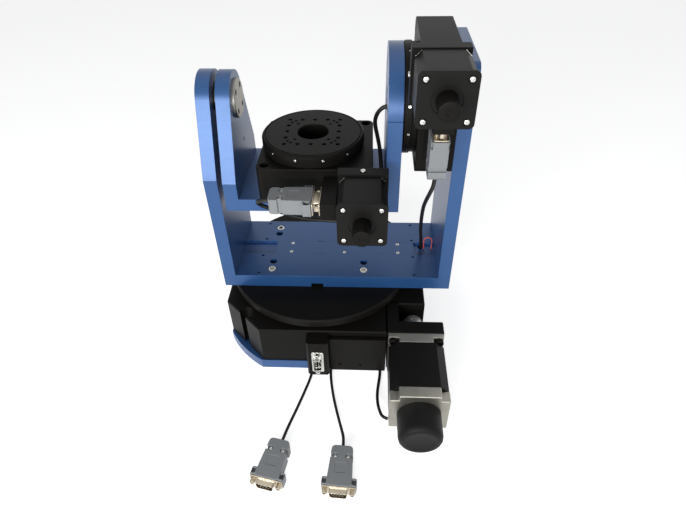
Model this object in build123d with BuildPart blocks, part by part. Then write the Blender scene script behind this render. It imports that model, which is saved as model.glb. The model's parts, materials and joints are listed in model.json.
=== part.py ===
"""Motorised three-axis rotation stage: a 200 mm worm-drive stage carries an outer cradle, a 100 mm
stage in that cradle tilts an inner cradle, and a second 100 mm stage stands in the inner cradle.

Millimetres, +Z up. The origin is where the vertical turning axis meets the surface that the base
plate stands on. +X points towards the upright that carries the tilt stage, -Y towards the motors.
"""

import math
import os

from build123d import *

os.makedirs("parts", exist_ok=True)

# Fits and clearances
running_fit = 0.05
roller_play = 0.2
clearance = 0.3
edge_break = 1
fine_edge_break = 0.6

# Share of a lead's shorter neighbouring run that its rounded corner takes up
lead_corner_share = 0.45

# ---- Base stage ----
base_plate_thickness = 12
base_plate_front = 101
base_plate_radius = 117.5
base_housing_top = 60
base_housing_half = 100
base_housing_right = 117
base_corner_cut = 42
coupling_bay_x = 75
coupling_bay_y = -58
slot_width = 9.5
slot_pocket_radius = 7.5
corner_spread = 75
corner_screw_radius = 2.4
cap_head_radius = 4.25
cap_head_height = 5
lead_notch_width = 4
lead_notch_depth = 6
lead_notch_x = (-4, 15.5, 69.5)

base_table_radius = 100
base_table_top = 75
base_table_rim = 9
base_table_chamfer = 1.5
base_skirt_radius = 91
base_hub_radius = 52
base_bore_radius = 20
base_hub_bottom = 22

base_race_bottom = 44
base_race_top = 59
base_inner_race_radius = 62
base_outer_race_radius = 70
base_race_seat_radius = 80
base_race_lip = 4
base_roller_count = 24
race_shield = 2

base_worm_x = 105
base_worm_z = 32
base_worm_radius = 9.5
base_worm_length = 90
base_worm_shaft_radius = 5
base_wheel_width = 16
base_chamber_roof = 43
worm_bearing_width = 8

# ---- Base motor, 57 mm frame ----
motor57_width = 56.4
motor57_bolt_spacing = 47.14
motor57_pilot_radius = 19.05
motor57_pilot_height = 1.6
motor57_front_cap = 12
motor57_stack = 54
motor57_rear_cap = 12
motor57_cap_edge = 1.2
motor57_stack_setback = 0.2
motor57_stack_chamfer = 8.5
motor57_shaft_radius = 3.175
motor57_ear_notch = 11
motor57_screw_radius = 2
motor57_screw_depth = 9
bracket_width = 58
bracket_thickness = 15
bracket_front = -100
bracket_wall = 12
bracket_floor = 9
base_coupling_radius = 10.5
base_coupling_end_gap = 0.8
base_coupling_slit = 1
base_coupling_hub = 10.2
base_shaft_reach = 14
base_knob_radius = 21
base_knob_length = 29
base_knob_rim = 3

# ---- Worm cover and connector box on the front of the base ----
cover_left = 15
cover_right = 74.5
cover_bottom = 4
cover_top = 53.5
cover_thickness = 5
cover_hole_x = (26, 48)
cover_hole_z = 14.5
cover_hole_radius = 2
connector_box_left = -8
connector_box_bottom = 7
connector_box_height = 50
connector_box_depth = 14
connector_box_chamfer = 2
base_dsub_z = 29

# ---- Nine-pin connectors ----
dsub_flange_length = 30.8
dsub_flange_height = 12.5
dsub_flange_thickness = 1.1
dsub_shell_length = 17
dsub_shell_height = 8.4
dsub_shell_radius = 2
dsub_depth = 6.3
hood_length = 39
hood_width = 20
hood_thickness = 15
hood_ear_width = 32
hood_ear_length = 8
hood_end_chamfer = 3.5
hood_recess_x = 8
hood_recess = (4, 1.5)

# ---- Outer cradle ----
cradle_left = -101
cradle_right = 142
upright_thickness = 13
cradle_setback = 1
cradle_plate_thickness = 15
left_kink_height = 209
left_top_radius = 26
tilt_axis_height = 269
right_upright_rise = 49
right_corner_radius = 8
cradle_screw_x = 50
cradle_screw_inset = 12
cradle_dowel_y = 25
cradle_dowel_radius = 4
cradle_screw_radius = 2.4
cradle_screw_depth = 8
cradle_screw_head_radius = 4.5
edge_hole_radius = 1.65
edge_hole_inset = 24.5
edge_hole_depth = 8
edge_hole_end = 5
channel_shift = 7.5
channel_width = 22
channel_depth = 3
channel_cover_end = 106
channel_cover_play = 0.2
channel_screw_spacing_x = 60
channel_screw_spacing_y = 15
channel_screw_radius = 1
channel_screw_depth = 5
channel_screw_head_radius = 2.1
channel_screw_head = 1.6
upright_screw_inset = 14
upright_screw_radius = 2.4
upright_screw_depth = 12
upright_screw_head_radius = 4.25
lead_hole_x = 114.5
lead_hole_y = 7
lead_hole_radius = 3.4
lead_hole_depth = 5
front_notch_width = 13
front_notch_height = 4.5
front_notch_depth = 14

# ---- Inner cradle ----
inner_half_width = 83
inner_plate = 13
inner_setback = 0
inner_floor_bottom = 176
inner_kink_height = 206
inner_left_radius = 25.4
arm_round_setback = 1
arm_bore_radius = 12
arm_screw_inset = 14
left_arm_hole_y = 6
left_arm_hole_z = 224
left_arm_hole_radius = 2
stage_screw_head_radius = 3.5
stage_screw_head = 4
stage_screw_depth = 5

# ---- Pivot on the left ----
pivot_radius = 10
pivot_bearing_radius = 16
pivot_flange_radius = 18
pivot_flange_thickness = 3
pivot_screw_circle = 13
pivot_screw_radius = 1.5
pivot_screw_depth = 6
pivot_screw_head_radius = 2.75
pivot_screw_head = 2.4

# ---- 100 mm stage, in its own frame: axis +Z, motor towards -Y, worm towards +X ----
stage_height = 46
stage_housing_height = 33.5
stage_half = 50
stage_right = 58
stage_corner_radius = 6
stage_hole_inset = 7.5
stage_hole_radius = 4.6
stage_bolt_radius = 2.75
stage_bolt_depth = 14
stage_foot_x = 30
stage_foot_depth = 9
table_setback = 0.5
stage_table_chamfer = 2.2
stage_groove_radius = 46
stage_groove_width = 0.8
stage_groove_depth = 0.8
stage_rim_height = 7.5
stage_rim_step = 1
stage_bore_radius = 15
stage_hub_radius = 26
stage_hub_bottom = 12
stage_roof_bottom = 26.5
stage_race_bottom = 27.5
stage_race_height = 5.5
stage_inner_race_radius = 29.6
stage_outer_race_radius = 33.4
stage_race_seat_radius = 38
stage_race_lip = 2
stage_roller_count = 18
stage_race_shield = 1
stage_worm_x = 49.5
stage_worm_z = 21.5
stage_worm_radius = 4.9
stage_worm_length = 40
stage_worm_shaft_radius = 2.5
stage_shaft_gap = 6
stage_wheel_bottom = 17
stage_wheel_width = 9
stage_bearing_width = 4
stage_tunnel_radius = 5.6
stage_pattern_spacing = 12.5
stage_pattern_half = 25
stage_pattern_hole_radius = 2.1
stage_screw_radius = 1.6
stage_bracket_wall_top = 33
stage_pattern_hole_depth = 6

# ---- Stage motor, 42 mm frame ----
motor42_width = 42.3
motor42_bolt_spacing = 31
motor42_pilot_radius = 11
motor42_pilot_height = 2
motor42_body = 39.2
motor42_body_chamfer = 5.5
motor42_cover = 3
motor42_cover_radius = 4
motor42_shaft_radius = 2.5
motor42_screw_head_radius = 2.5
motor42_screw_head = 0.9
adapter_width = 44
adapter_thickness = 11.5
adapter_back = -64.5
adapter_rise = 1
adapter_wall = 11
stage_coupling_radius = 8
stage_knob_radius = 8
stage_knob_length = 18
stage_knob_rim = 1.2
stage_block_left = 12.5
stage_block_right = 27.2
stage_block_front = -96
stage_block_height = 16
stage_dsub_y = -78
stage_dsub_z = 18.5
stage_block_chamfer = 0.8

# ---- Plugs on the floor: where the lead enters the hood, and the way the plug points ----
floor_plugs = {"left": (-26.3, -197.5, -102.5), "right": (33.3, -202, -93.2)}

# ---- Leads: diameter and hand-set points of each route ----
leads = {
    "left_lead": (
        3,
        [
            (-4, -95, 3.5),
            (-4, -106, 3.5),
            (-6.4, -119, 2.1),
            (-11.4, -137, 1.8),
            (-16.4, -155.5, 2.4),
            (-20.2, -171, 5.2),
            (-23.7, -185.8, 7.5),
            (-26.3, -197.5, 7.5),
        ],
    ),
    "right_lead": (
        3,
        [
            (15.5, -95, 2.2),
            (15.5, -106, 2.2),
            (17, -121, 1.9),
            (21, -142, 1.8),
            (26.2, -162, 2.4),
            (30.8, -179, 6),
            (33.9, -191, 7.5),
            (33.3, -202, 7.5),
        ],
    ),
    "motor_lead": (
        3.3,
        [
            (69.5, -95, 2.1),
            (69.5, -107, 2.1),
            (68.3, -117.5, 2.3),
            (66.7, -129, 3),
            (66.1, -141, 4.6),
            (67, -152.5, 7.2),
            (68.8, -161.5, 10.3),
            (70.2, -166.8, 12.4),
            (73.2, -170.2, 13.8),
            (76, -171.5, 14.1),
        ],
    ),
    "tilt_lead": (
        3.7,
        [
            (110.5, -78, 235.1),
            (110.5, -78, 225),
            (107.6, -74.5, 213),
            (106.2, -65.5, 200),
            (106, -54, 185.5),
            (107.2, -38, 164.5),
            (108.9, -22.5, 141),
            (111.2, -7, 119.5),
            (113.5, 3, 105),
            (114.5, 7, 94),
            (114.5, 7, 82),
        ],
    ),
    "top_lead": (
        4,
        [
            (-33.9, -78, 207.5),
            (-40.5, -78, 207.5),
            (-46.5, -73.5, 203),
            (-46, -67.5, 196),
            (-38.5, -63, 188.5),
            (-25, -59.5, 180.5),
            (-9, -56, 172.5),
            (9, -52, 167.5),
            (28, -51, 165.5),
            (46, -55, 167.5),
            (57.5, -60.5, 175),
            (64.5, -60.5, 185),
            (66.8, -54.5, 193.5),
            (67.2, -38, 195),
            (67, -20, 194),
            (66.6, -4, 198),
            (65.6, 8, 209),
            (62.6, 12, 223),
            (59.8, 9, 236),
            (59.6, 4, 246.5),
            (62.4, 0.8, 255.5),
            (69, 0, 261.5),
            (77.5, 0, 261.5),
        ],
    ),
    "red_wire": (
        1.2,
        [
            (117.6, 4.6, 87),
            (117.6, 4.6, 91.5),
            (117.3, 4.6, 96.3),
            (117.6, 4.4, 101.4),
            (121.8, 4, 103.9),
            (126, 3.6, 101.4),
            (126.3, 3.4, 96.4),
            (126, 3.4, 91.6),
            (126, 3.4, 87),
        ],
    ),
}

# Worked out from the above: the plates of both cradles are nearly as deep as the stages on them
cradle_half_depth = stage_half - cradle_setback
inner_half_depth = stage_half - inner_setback
inner_right_radius = inner_half_depth - arm_round_setback
stage_table_radius = stage_half - table_setback
cradle_screw_y = cradle_half_depth - cradle_screw_inset
upright_screw_spacing = 2 * (cradle_half_depth - upright_screw_inset)
arm_screw_spacing = 2 * (inner_half_depth - arm_screw_inset)
edge_hole_y = cradle_half_depth - edge_hole_end
edge_hole_rows = (-edge_hole_y, -edge_hole_y / 3, edge_hole_y / 3, edge_hole_y)
right_upright_top = tilt_axis_height + right_upright_rise
plate_top = base_table_top + cradle_plate_thickness
right_face = cradle_right - upright_thickness
left_face = cradle_left + upright_thickness
inner_floor_top = inner_floor_bottom + inner_plate
inner_left_face = -inner_half_width + inner_plate
inner_right_face = inner_half_width - inner_plate
cradle_centre_x = (cradle_left + cradle_right) / 2
channel_centre_x = cradle_centre_x + channel_shift
base_wheel_radius = base_worm_x - base_worm_radius - clearance
base_chamber_radius = base_wheel_radius + 0.8
base_tunnel_radius = base_worm_radius + 0.6
base_motor_face = bracket_front
base_stack_face = base_motor_face - motor57_front_cap
base_rear_face = base_stack_face - motor57_stack
base_knob_face = base_rear_face - motor57_rear_cap
stage_wheel_radius = stage_worm_x - stage_worm_radius - clearance
stage_chamber_radius = stage_wheel_radius + 0.8
stage_motor_face = adapter_back - adapter_thickness
stage_cover_face = stage_motor_face - motor42_body
stage_knob_face = stage_cover_face - motor42_cover
stage_centre_x = (stage_right - stage_half) / 2
stage_plug_gap = dsub_depth + dsub_flange_thickness
race_height = base_race_top - base_race_bottom
connector_box_width = cover_left - connector_box_left
connector_box_x = (cover_left + connector_box_left) / 2
housing_corners = (
    (-corner_spread, -corner_spread),
    (-corner_spread, corner_spread),
    (corner_spread, corner_spread),
)
cover_left_end = 2 * channel_centre_x - channel_cover_end

stage_hole_y = stage_half - stage_hole_inset
stage_feet = [(x, y) for x in (-stage_hole_y, stage_foot_x) for y in (-stage_hole_y, stage_hole_y)]

# Where the two 100 mm stages stand: one upright on the inner floor, one on its side on the upright
top_stage = Location((0, 0, inner_floor_top))
tilt_stage = Location((right_face, 0, tilt_axis_height), (0, -90, 0))
stage_places = {"tilt": tilt_stage, "top": top_stage}


def across(x, y, z):
    """A plane at that point that faces -Y, towards the motors, with +X to its right."""
    return Plane(origin=(x, y, z), x_dir=(1, 0, 0), z_dir=(0, -1, 0))


def sideways(x, y, z):
    """A plane at that point that faces +X, with +Y to its right."""
    return Plane(origin=(x, y, z), x_dir=(0, 1, 0), z_dir=(1, 0, 0))


def facing_left(x, y, z):
    """A plane at that point that faces -X, with -Y to its right."""
    return Plane(origin=(x, y, z), x_dir=(0, -1, 0), z_dir=(-1, 0, 0))


def save(piece, name, place=Location()):
    """Labels a finished piece, puts it in its place and writes its STEP file."""
    placed = piece.moved(place)
    placed.label = name
    export_step(placed, f"parts/{name}.step")


# ======================= Base =======================

arc_x = math.sqrt(base_plate_radius**2 - base_plate_front**2)
back_right_cut = (base_housing_right - base_corner_cut, base_plate_front)
arc_middle = base_plate_radius * math.sqrt(0.5)

with BuildPart() as base_plate:
    with BuildSketch():
        with BuildLine():
            Line((coupling_bay_x, -base_plate_front), (-arc_x, -base_plate_front))
            ThreePointArc(
                (-arc_x, -base_plate_front), (-arc_middle, -arc_middle), (-base_plate_front, -arc_x)
            )
            Line((-base_plate_front, -arc_x), (-base_plate_front, arc_x))
            ThreePointArc((-base_plate_front, arc_x), (-arc_middle, arc_middle), (-arc_x, base_plate_front))
            Polyline(
                (-arc_x, base_plate_front),
                back_right_cut,
                (base_housing_right, base_plate_front - base_corner_cut),
                (base_housing_right, coupling_bay_y),
                (coupling_bay_x, coupling_bay_y),
                (coupling_bay_x, -base_plate_front),
            )
        make_face()
        Circle(base_bore_radius, mode=Mode.SUBTRACT)
        for notch_x in lead_notch_x:
            with Locations((notch_x, -base_plate_front)):
                Rectangle(lead_notch_width, 2 * lead_notch_depth, mode=Mode.SUBTRACT)
        with Locations(*housing_corners):
            Circle(corner_screw_radius + running_fit, mode=Mode.SUBTRACT)
    extrude(amount=base_plate_thickness)
base_plate.part.label = "base_plate"
export_step(base_plate.part, "parts/base_plate.step")

with BuildPart() as base_housing:
    with BuildSketch(Plane.XY.offset(base_plate_thickness)):
        with BuildLine():
            half = base_housing_half
            Polyline(
                (coupling_bay_x, -half),
                (-half + base_corner_cut, -half),
                (-half, -half + base_corner_cut),
                (-half, half - base_corner_cut),
                (-half + base_corner_cut, half),
                (base_housing_right - base_corner_cut, half),
                (base_housing_right, half - base_corner_cut),
                (base_housing_right, coupling_bay_y),
                (coupling_bay_x, coupling_bay_y),
                close=True,
            )
        make_face()
    extrude(amount=base_housing_top - base_plate_thickness)
    chamfer(base_housing.faces().sort_by(Axis.Z)[-1].edges(), edge_break)
    with BuildSketch(Plane.XY.offset(base_plate_thickness)):
        Circle(base_chamber_radius)
    extrude(amount=base_chamber_roof - base_plate_thickness, mode=Mode.SUBTRACT)
    with BuildSketch(Plane.XY.offset(base_chamber_roof)):
        Circle(base_race_seat_radius - base_race_lip)
    extrude(amount=base_housing_top - base_chamber_roof, mode=Mode.SUBTRACT)
    with BuildSketch(Plane.XY.offset(base_race_bottom)):
        Circle(base_race_seat_radius)
    extrude(amount=base_housing_top - base_race_bottom, mode=Mode.SUBTRACT)
    with BuildSketch(across(base_worm_x, coupling_bay_y, base_worm_z)):
        Circle(base_tunnel_radius)
    extrude(amount=-(base_worm_length + 2 * worm_bearing_width), mode=Mode.SUBTRACT)
    # Screw pockets, open through the cut corners as slots; the motor takes up the fourth corner
    with BuildSketch(Plane.XY.offset(base_plate_thickness)):
        for corner in housing_corners:
            outwards = math.degrees(math.atan2(corner[1], corner[0]))
            with Locations(Location((*corner, 0), (0, 0, outwards))):
                Circle(slot_pocket_radius)
                Rectangle(base_corner_cut, slot_width, align=(Align.MIN, Align.CENTER))
    extrude(amount=base_housing_top, mode=Mode.SUBTRACT)
base_housing.part.label = "base_housing"
export_step(base_housing.part, "parts/base_housing.step")

# Crossed-roller bearing: outer race in the housing, rollers, and the two rings on the worm shaft
roller_radius = (base_outer_race_radius - base_inner_race_radius) / 2 - roller_play
with BuildPart() as base_bearings:
    with BuildSketch(Plane.XY.offset(base_race_bottom)):
        Circle(base_race_seat_radius)
        Circle(base_outer_race_radius, mode=Mode.SUBTRACT)
    extrude(amount=race_height)
    with BuildSketch(Plane.XY.offset(base_race_bottom + race_shield)):
        with PolarLocations((base_outer_race_radius + base_inner_race_radius) / 2, base_roller_count):
            Circle(roller_radius)
    extrude(amount=race_height - 2 * race_shield)
    for start in (coupling_bay_y, coupling_bay_y + base_worm_length + worm_bearing_width):
        with BuildSketch(across(base_worm_x, start, base_worm_z)):
            Circle(base_tunnel_radius)
            Circle(base_worm_shaft_radius + running_fit, mode=Mode.SUBTRACT)
        extrude(amount=-worm_bearing_width)
base_bearings.part.label = "base_bearings"
export_step(base_bearings.part, "parts/base_bearings.step")

with BuildPart() as worm_cover:
    with BuildSketch(across(0, -base_plate_front, 0)):
        with Locations(((cover_left + cover_right) / 2, (cover_bottom + cover_top) / 2)):
            Rectangle(cover_right - cover_left, cover_top - cover_bottom)
    extrude(amount=cover_thickness)
    chamfer(worm_cover.faces().sort_by(Axis.Y)[0].edges(), fine_edge_break)
    with Locations(across(0, -base_plate_front - cover_thickness, 0)):
        for hole_x in cover_hole_x:
            with Locations((hole_x, cover_hole_z)):
                Hole(cover_hole_radius)
worm_cover.part.label = "worm_cover"
export_step(worm_cover.part, "parts/worm_cover.step")

box_centre_z = connector_box_bottom + connector_box_height / 2
with BuildPart() as connector_box:
    with BuildSketch(across(connector_box_x, -base_plate_front, box_centre_z)):
        Rectangle(connector_box_width, connector_box_height)
    extrude(amount=connector_box_depth)
    chamfer(connector_box.edges().filter_by(Axis.Z).group_by(Axis.Y)[0], connector_box_chamfer)
connector_box.part.label = "connector_box"
export_step(connector_box.part, "parts/connector_box.step")


def dsub(plane, depth, turn=0):
    """Metal flange and shell of a nine-pin connector, standing out of that plane."""
    with BuildPart() as metal:
        with BuildSketch(plane):
            Rectangle(dsub_flange_length, dsub_flange_height, rotation=turn)
        extrude(amount=dsub_flange_thickness)
        with BuildSketch(plane.offset(dsub_flange_thickness)):
            RectangleRounded(dsub_shell_length, dsub_shell_height, dsub_shell_radius, rotation=turn)
        extrude(amount=depth - dsub_flange_thickness)
    return metal.part


def hood():
    """Plastic hood of a nine-pin plug. Its origin is the middle of its face and the cable leaves at -X."""
    with BuildPart() as shell:
        with BuildSketch(Plane.XY.offset(-hood_thickness / 2)):
            with Locations((-hood_length / 2, 0)):
                Rectangle(hood_length, hood_width)
        extrude(amount=hood_thickness)
        chamfer(shell.edges().filter_by(Axis.Z).group_by(Axis.X)[0], hood_end_chamfer)
        with BuildSketch(Plane.XY.offset(-hood_thickness / 2)):
            with Locations((-hood_ear_length / 2, 0)):
                Rectangle(hood_ear_length, hood_ear_width)
        extrude(amount=hood_thickness)
        # Recess for the halves' clip in each side
        with BuildSketch(Plane.XY.offset(-hood_thickness / 2)):
            for side in (-hood_width / 2, hood_width / 2):
                with Locations((hood_recess_x - hood_length, side)):
                    Rectangle(hood_recess[0], 2 * hood_recess[1])
        extrude(amount=hood_thickness, mode=Mode.SUBTRACT)
    return shell.part


with BuildPart() as base_connector:
    add(dsub(across(connector_box_x, -base_plate_front - connector_box_depth, base_dsub_z), dsub_depth, 90))
base_connector.part.label = "base_connector"
export_step(base_connector.part, "parts/base_connector.step")

# Motor bracket: a face plate in front of an open bay, with one side wall and a floor
bracket_left = base_worm_x - bracket_width / 2
bracket_back = bracket_front + bracket_thickness
with BuildPart() as motor_bracket:
    with BuildSketch(across(base_worm_x, bracket_back, base_worm_z)):
        Rectangle(bracket_width, bracket_width)
    extrude(amount=bracket_thickness)
    with BuildSketch(across(bracket_left + bracket_wall / 2, coupling_bay_y, base_worm_z)):
        Rectangle(bracket_wall, bracket_width)
    extrude(amount=bracket_back - coupling_bay_y, dir=(0, 1, 0))
    with BuildSketch(across(0, coupling_bay_y, 0)):
        floor_left = bracket_left + bracket_wall
        floor_bottom = base_worm_z - bracket_width / 2
        with Locations(((floor_left + base_housing_right) / 2, floor_bottom + bracket_floor / 2)):
            Rectangle(base_housing_right - floor_left, bracket_floor)
    extrude(amount=bracket_back - coupling_bay_y, dir=(0, 1, 0))
    chamfer(motor_bracket.edges().filter_by(Axis.Y).group_by(Axis.X)[-1], edge_break)
    with Locations(across(base_worm_x, bracket_front, base_worm_z)):
        Hole(motor57_pilot_radius + running_fit)
        with GridLocations(motor57_bolt_spacing, motor57_bolt_spacing, 2, 2):
            Hole(motor57_screw_radius + running_fit, depth=motor57_screw_depth + 1)
motor_bracket.part.label = "motor_bracket"
export_step(motor_bracket.part, "parts/motor_bracket.step")

# Motor, 57 mm frame: front and rear cap, laminated stack
with BuildPart() as motor_caps:
    with BuildSketch(across(base_worm_x, base_motor_face, base_worm_z)):
        Rectangle(motor57_width, motor57_width)
    extrude(amount=motor57_front_cap)
    # The ears at the corners are thinner than the cap, so that the screws reach their seats
    with BuildSketch(across(base_worm_x, base_motor_face - motor57_front_cap / 2, base_worm_z)):
        with GridLocations(motor57_width, motor57_width, 2, 2):
            Rectangle(2 * motor57_ear_notch, 2 * motor57_ear_notch)
    extrude(amount=motor57_front_cap / 2, mode=Mode.SUBTRACT)
    with BuildSketch(across(base_worm_x, base_motor_face, base_worm_z)):
        Circle(motor57_pilot_radius)
    extrude(amount=-motor57_pilot_height)
    with Locations(across(base_worm_x, base_motor_face - motor57_front_cap / 2, base_worm_z)):
        with GridLocations(motor57_bolt_spacing, motor57_bolt_spacing, 2, 2):
            Hole(motor57_screw_radius + clearance)
    with BuildSketch(across(base_worm_x, base_rear_face, base_worm_z)) as rear_outline:
        Rectangle(motor57_width, motor57_width)
        chamfer(rear_outline.vertices(), motor57_stack_chamfer)
    extrude(amount=motor57_rear_cap)
    fillet(motor_caps.faces().sort_by(Axis.Y)[0].outer_wire().edges(), motor57_cap_edge)
    with BuildSketch(across(base_worm_x, base_knob_face, base_worm_z)):
        Circle(motor57_shaft_radius + running_fit)
    extrude(amount=base_knob_face - base_motor_face - 2 * motor57_pilot_height, mode=Mode.SUBTRACT)
motor_caps.part.label = "motor_caps"
export_step(motor_caps.part, "parts/motor_caps.step")

with BuildPart() as motor_stack:
    with BuildSketch(across(base_worm_x, base_stack_face, base_worm_z)) as stack_outline:
        stack_width = motor57_width - 2 * motor57_stack_setback
        Rectangle(stack_width, stack_width)
        chamfer(stack_outline.vertices(), motor57_stack_chamfer)
        Circle(motor57_shaft_radius + running_fit, mode=Mode.SUBTRACT)
    extrude(amount=motor57_stack)
motor_stack.part.label = "motor_stack"
export_step(motor_stack.part, "parts/motor_stack.step")

# Cap screws of the corner pockets, the worm cover and the motor
with BuildPart() as base_screws:
    with BuildSketch(Plane.XY.offset(base_plate_thickness)):
        with Locations(*housing_corners):
            Circle(cap_head_radius)
    extrude(amount=cap_head_height)
    with BuildSketch():
        with Locations(*housing_corners):
            Circle(corner_screw_radius)
    extrude(amount=base_plate_thickness)
    with BuildSketch(across(0, -base_plate_front, cover_hole_z)):
        for hole_x in cover_hole_x:
            with Locations((hole_x, 0)):
                Circle(cover_hole_radius - running_fit)
    extrude(amount=cover_thickness / 2)
    with BuildSketch(across(base_worm_x, base_motor_face - motor57_front_cap / 2, base_worm_z)):
        with GridLocations(motor57_bolt_spacing, motor57_bolt_spacing, 2, 2):
            Circle(cap_head_radius)
    extrude(amount=cap_head_height)
    with BuildSketch(across(base_worm_x, base_motor_face - motor57_front_cap / 2, base_worm_z)):
        with GridLocations(motor57_bolt_spacing, motor57_bolt_spacing, 2, 2):
            Circle(motor57_screw_radius)
    extrude(amount=-motor57_front_cap / 2 - motor57_screw_depth)
base_screws.part.label = "base_screws"
export_step(base_screws.part, "parts/base_screws.step")

# ======================= Base worm shaft, coupling and knob: one turning body =======================

shaft_front = coupling_bay_y - base_shaft_reach
with BuildPart() as base_worm:
    with BuildSketch(across(base_worm_x, coupling_bay_y + worm_bearing_width, base_worm_z)):
        Circle(base_worm_radius)
    extrude(amount=-base_worm_length + clearance)
    with BuildSketch(across(base_worm_x, shaft_front, base_worm_z)):
        Circle(base_worm_shaft_radius)
    extrude(amount=shaft_front - coupling_bay_y - base_worm_length - 2 * worm_bearing_width)
base_worm.part.label = "base_worm"
export_step(base_worm.part, "parts/base_worm.step")

coupling_start = coupling_bay_y - base_coupling_end_gap
coupling_length = coupling_start - bracket_back - base_coupling_end_gap
with BuildPart() as base_coupling:
    with BuildSketch(across(base_worm_x, coupling_start, base_worm_z)):
        Circle(base_coupling_radius)
    extrude(amount=coupling_length)
    chamfer(base_coupling.edges().filter_by(GeomType.CIRCLE), fine_edge_break)
    with BuildSketch(across(base_worm_x, coupling_start, base_worm_z)):
        Circle(base_worm_shaft_radius)
    extrude(amount=coupling_start - shaft_front, mode=Mode.SUBTRACT)
    with BuildSketch(across(base_worm_x, shaft_front, base_worm_z)):
        Circle(motor57_shaft_radius)
    extrude(amount=coupling_length, mode=Mode.SUBTRACT)
    # Slit clamps: a slit to the bore at each end, and a groove between the two hubs
    with BuildSketch(Plane(origin=(base_worm_x, 0, base_worm_z), z_dir=(0, 0, 1))):
        hub_middle = base_coupling_hub / 2
        for hub_y in (coupling_start - hub_middle, coupling_start - coupling_length + hub_middle):
            with Locations((0, hub_y)):
                Rectangle(base_coupling_slit, base_coupling_hub)
    extrude(amount=base_coupling_radius, mode=Mode.SUBTRACT)
base_coupling.part.label = "base_coupling"
export_step(base_coupling.part, "parts/base_coupling.step")

with BuildPart() as base_knob:
    with BuildSketch(across(base_worm_x, base_knob_face - clearance, base_worm_z)):
        Circle(base_knob_radius)
    extrude(amount=base_knob_length)
    fillet(base_knob.faces().sort_by(Axis.Y)[0].edges(), base_knob_rim)
    fillet(base_knob.faces().sort_by(Axis.Y)[-1].edges(), edge_break)
    with BuildSketch(across(base_worm_x, base_knob_face - clearance, base_worm_z)):
        Circle(motor57_shaft_radius)
    extrude(amount=shaft_front - base_knob_face - clearance, dir=(0, 1, 0))
base_knob.part.label = "base_knob"
export_step(base_knob.part, "parts/base_knob.step")

# ======================= Turning table of the base and outer cradle =======================

with BuildPart() as base_table:
    with BuildSketch(Plane.XY.offset(base_table_top - base_table_rim)):
        Circle(base_table_radius)
    extrude(amount=base_table_rim)
    chamfer(base_table.faces().sort_by(Axis.Z)[-1].edges(), base_table_chamfer)
    with BuildSketch(Plane.XY.offset(base_housing_top + clearance)):
        Circle(base_skirt_radius)
    extrude(amount=base_table_top - base_table_rim - base_housing_top - clearance)
    with BuildSketch(Plane.XY.offset(base_hub_bottom)):
        Circle(base_hub_radius)
    extrude(amount=base_housing_top - base_hub_bottom + clearance)
    with BuildSketch(Plane.XY.offset(base_hub_bottom)):
        Circle(base_bore_radius)
    extrude(amount=base_table_top, mode=Mode.SUBTRACT)
    with Locations((0, 0, base_table_top)):
        with GridLocations(2 * cradle_screw_x, 2 * cradle_screw_y, 2, 2):
            Hole(cradle_screw_radius + running_fit, depth=cradle_screw_depth)
base_table.part.label = "base_table"
export_step(base_table.part, "parts/base_table.step")

with BuildPart() as base_wheel:
    with BuildSketch(Plane.XY.offset(base_worm_z - base_wheel_width / 2)):
        Circle(base_wheel_radius)
        Circle(base_hub_radius, mode=Mode.SUBTRACT)
    extrude(amount=base_wheel_width)
    with BuildSketch(Plane.XY.offset(base_race_bottom)):
        Circle(base_inner_race_radius)
        Circle(base_hub_radius, mode=Mode.SUBTRACT)
    extrude(amount=race_height)
base_wheel.part.label = "base_wheel"
export_step(base_wheel.part, "parts/base_wheel.step")

cradle_width = right_face - left_face
with BuildPart() as cradle_plate:
    with BuildSketch(Plane.XY.offset(base_table_top)):
        with Locations((cradle_centre_x, 0)):
            Rectangle(cradle_width, 2 * cradle_half_depth)
        Circle(arm_bore_radius, mode=Mode.SUBTRACT)
    extrude(amount=cradle_plate_thickness)
    with BuildSketch(Plane.XY.offset(plate_top - channel_depth)):
        with Locations((cradle_centre_x, 0)):
            Rectangle(cradle_width, channel_width)
    extrude(amount=channel_depth, mode=Mode.SUBTRACT)
    with BuildSketch(Plane.XY.offset(base_table_top)):
        with Locations((0, -cradle_half_depth + front_notch_depth / 2)):
            Rectangle(front_notch_width, front_notch_depth)
    extrude(amount=front_notch_height, mode=Mode.SUBTRACT)
    with Locations((0, 0, plate_top)):
        with GridLocations(2 * cradle_screw_x, 2 * cradle_screw_y, 2, 2):
            CounterBoreHole(
                cradle_screw_radius + clearance, cradle_screw_head_radius + clearance, cap_head_height
            )
        with GridLocations(2 * cradle_screw_x, 2 * cradle_dowel_y, 2, 2):
            Hole(cradle_dowel_radius)
        with Locations((cradle_centre_x, 0)):
            for hole_y in edge_hole_rows:
                for side in (-1, 1):
                    with Locations((side * (cradle_width / 2 - edge_hole_inset), hole_y)):
                        Hole(edge_hole_radius, depth=edge_hole_depth)
    with Locations((channel_centre_x, 0, plate_top - channel_depth)):
        with GridLocations(channel_screw_spacing_x, channel_screw_spacing_y, 3, 2):
            Hole(channel_screw_radius + running_fit, depth=channel_screw_depth)
    with Locations((lead_hole_x, lead_hole_y, plate_top - channel_depth)):
        Hole(lead_hole_radius, depth=lead_hole_depth)
    for end_plane in (facing_left(left_face, 0, 0), sideways(right_face, 0, 0)):
        with Locations(end_plane):
            with Locations((0, base_table_top + cradle_plate_thickness / 2)):
                with GridLocations(upright_screw_spacing, 0, 2, 1):
                    Hole(upright_screw_radius + running_fit, depth=upright_screw_depth)
cradle_plate.part.label = "cradle_plate"
export_step(cradle_plate.part, "parts/cradle_plate.step")

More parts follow.
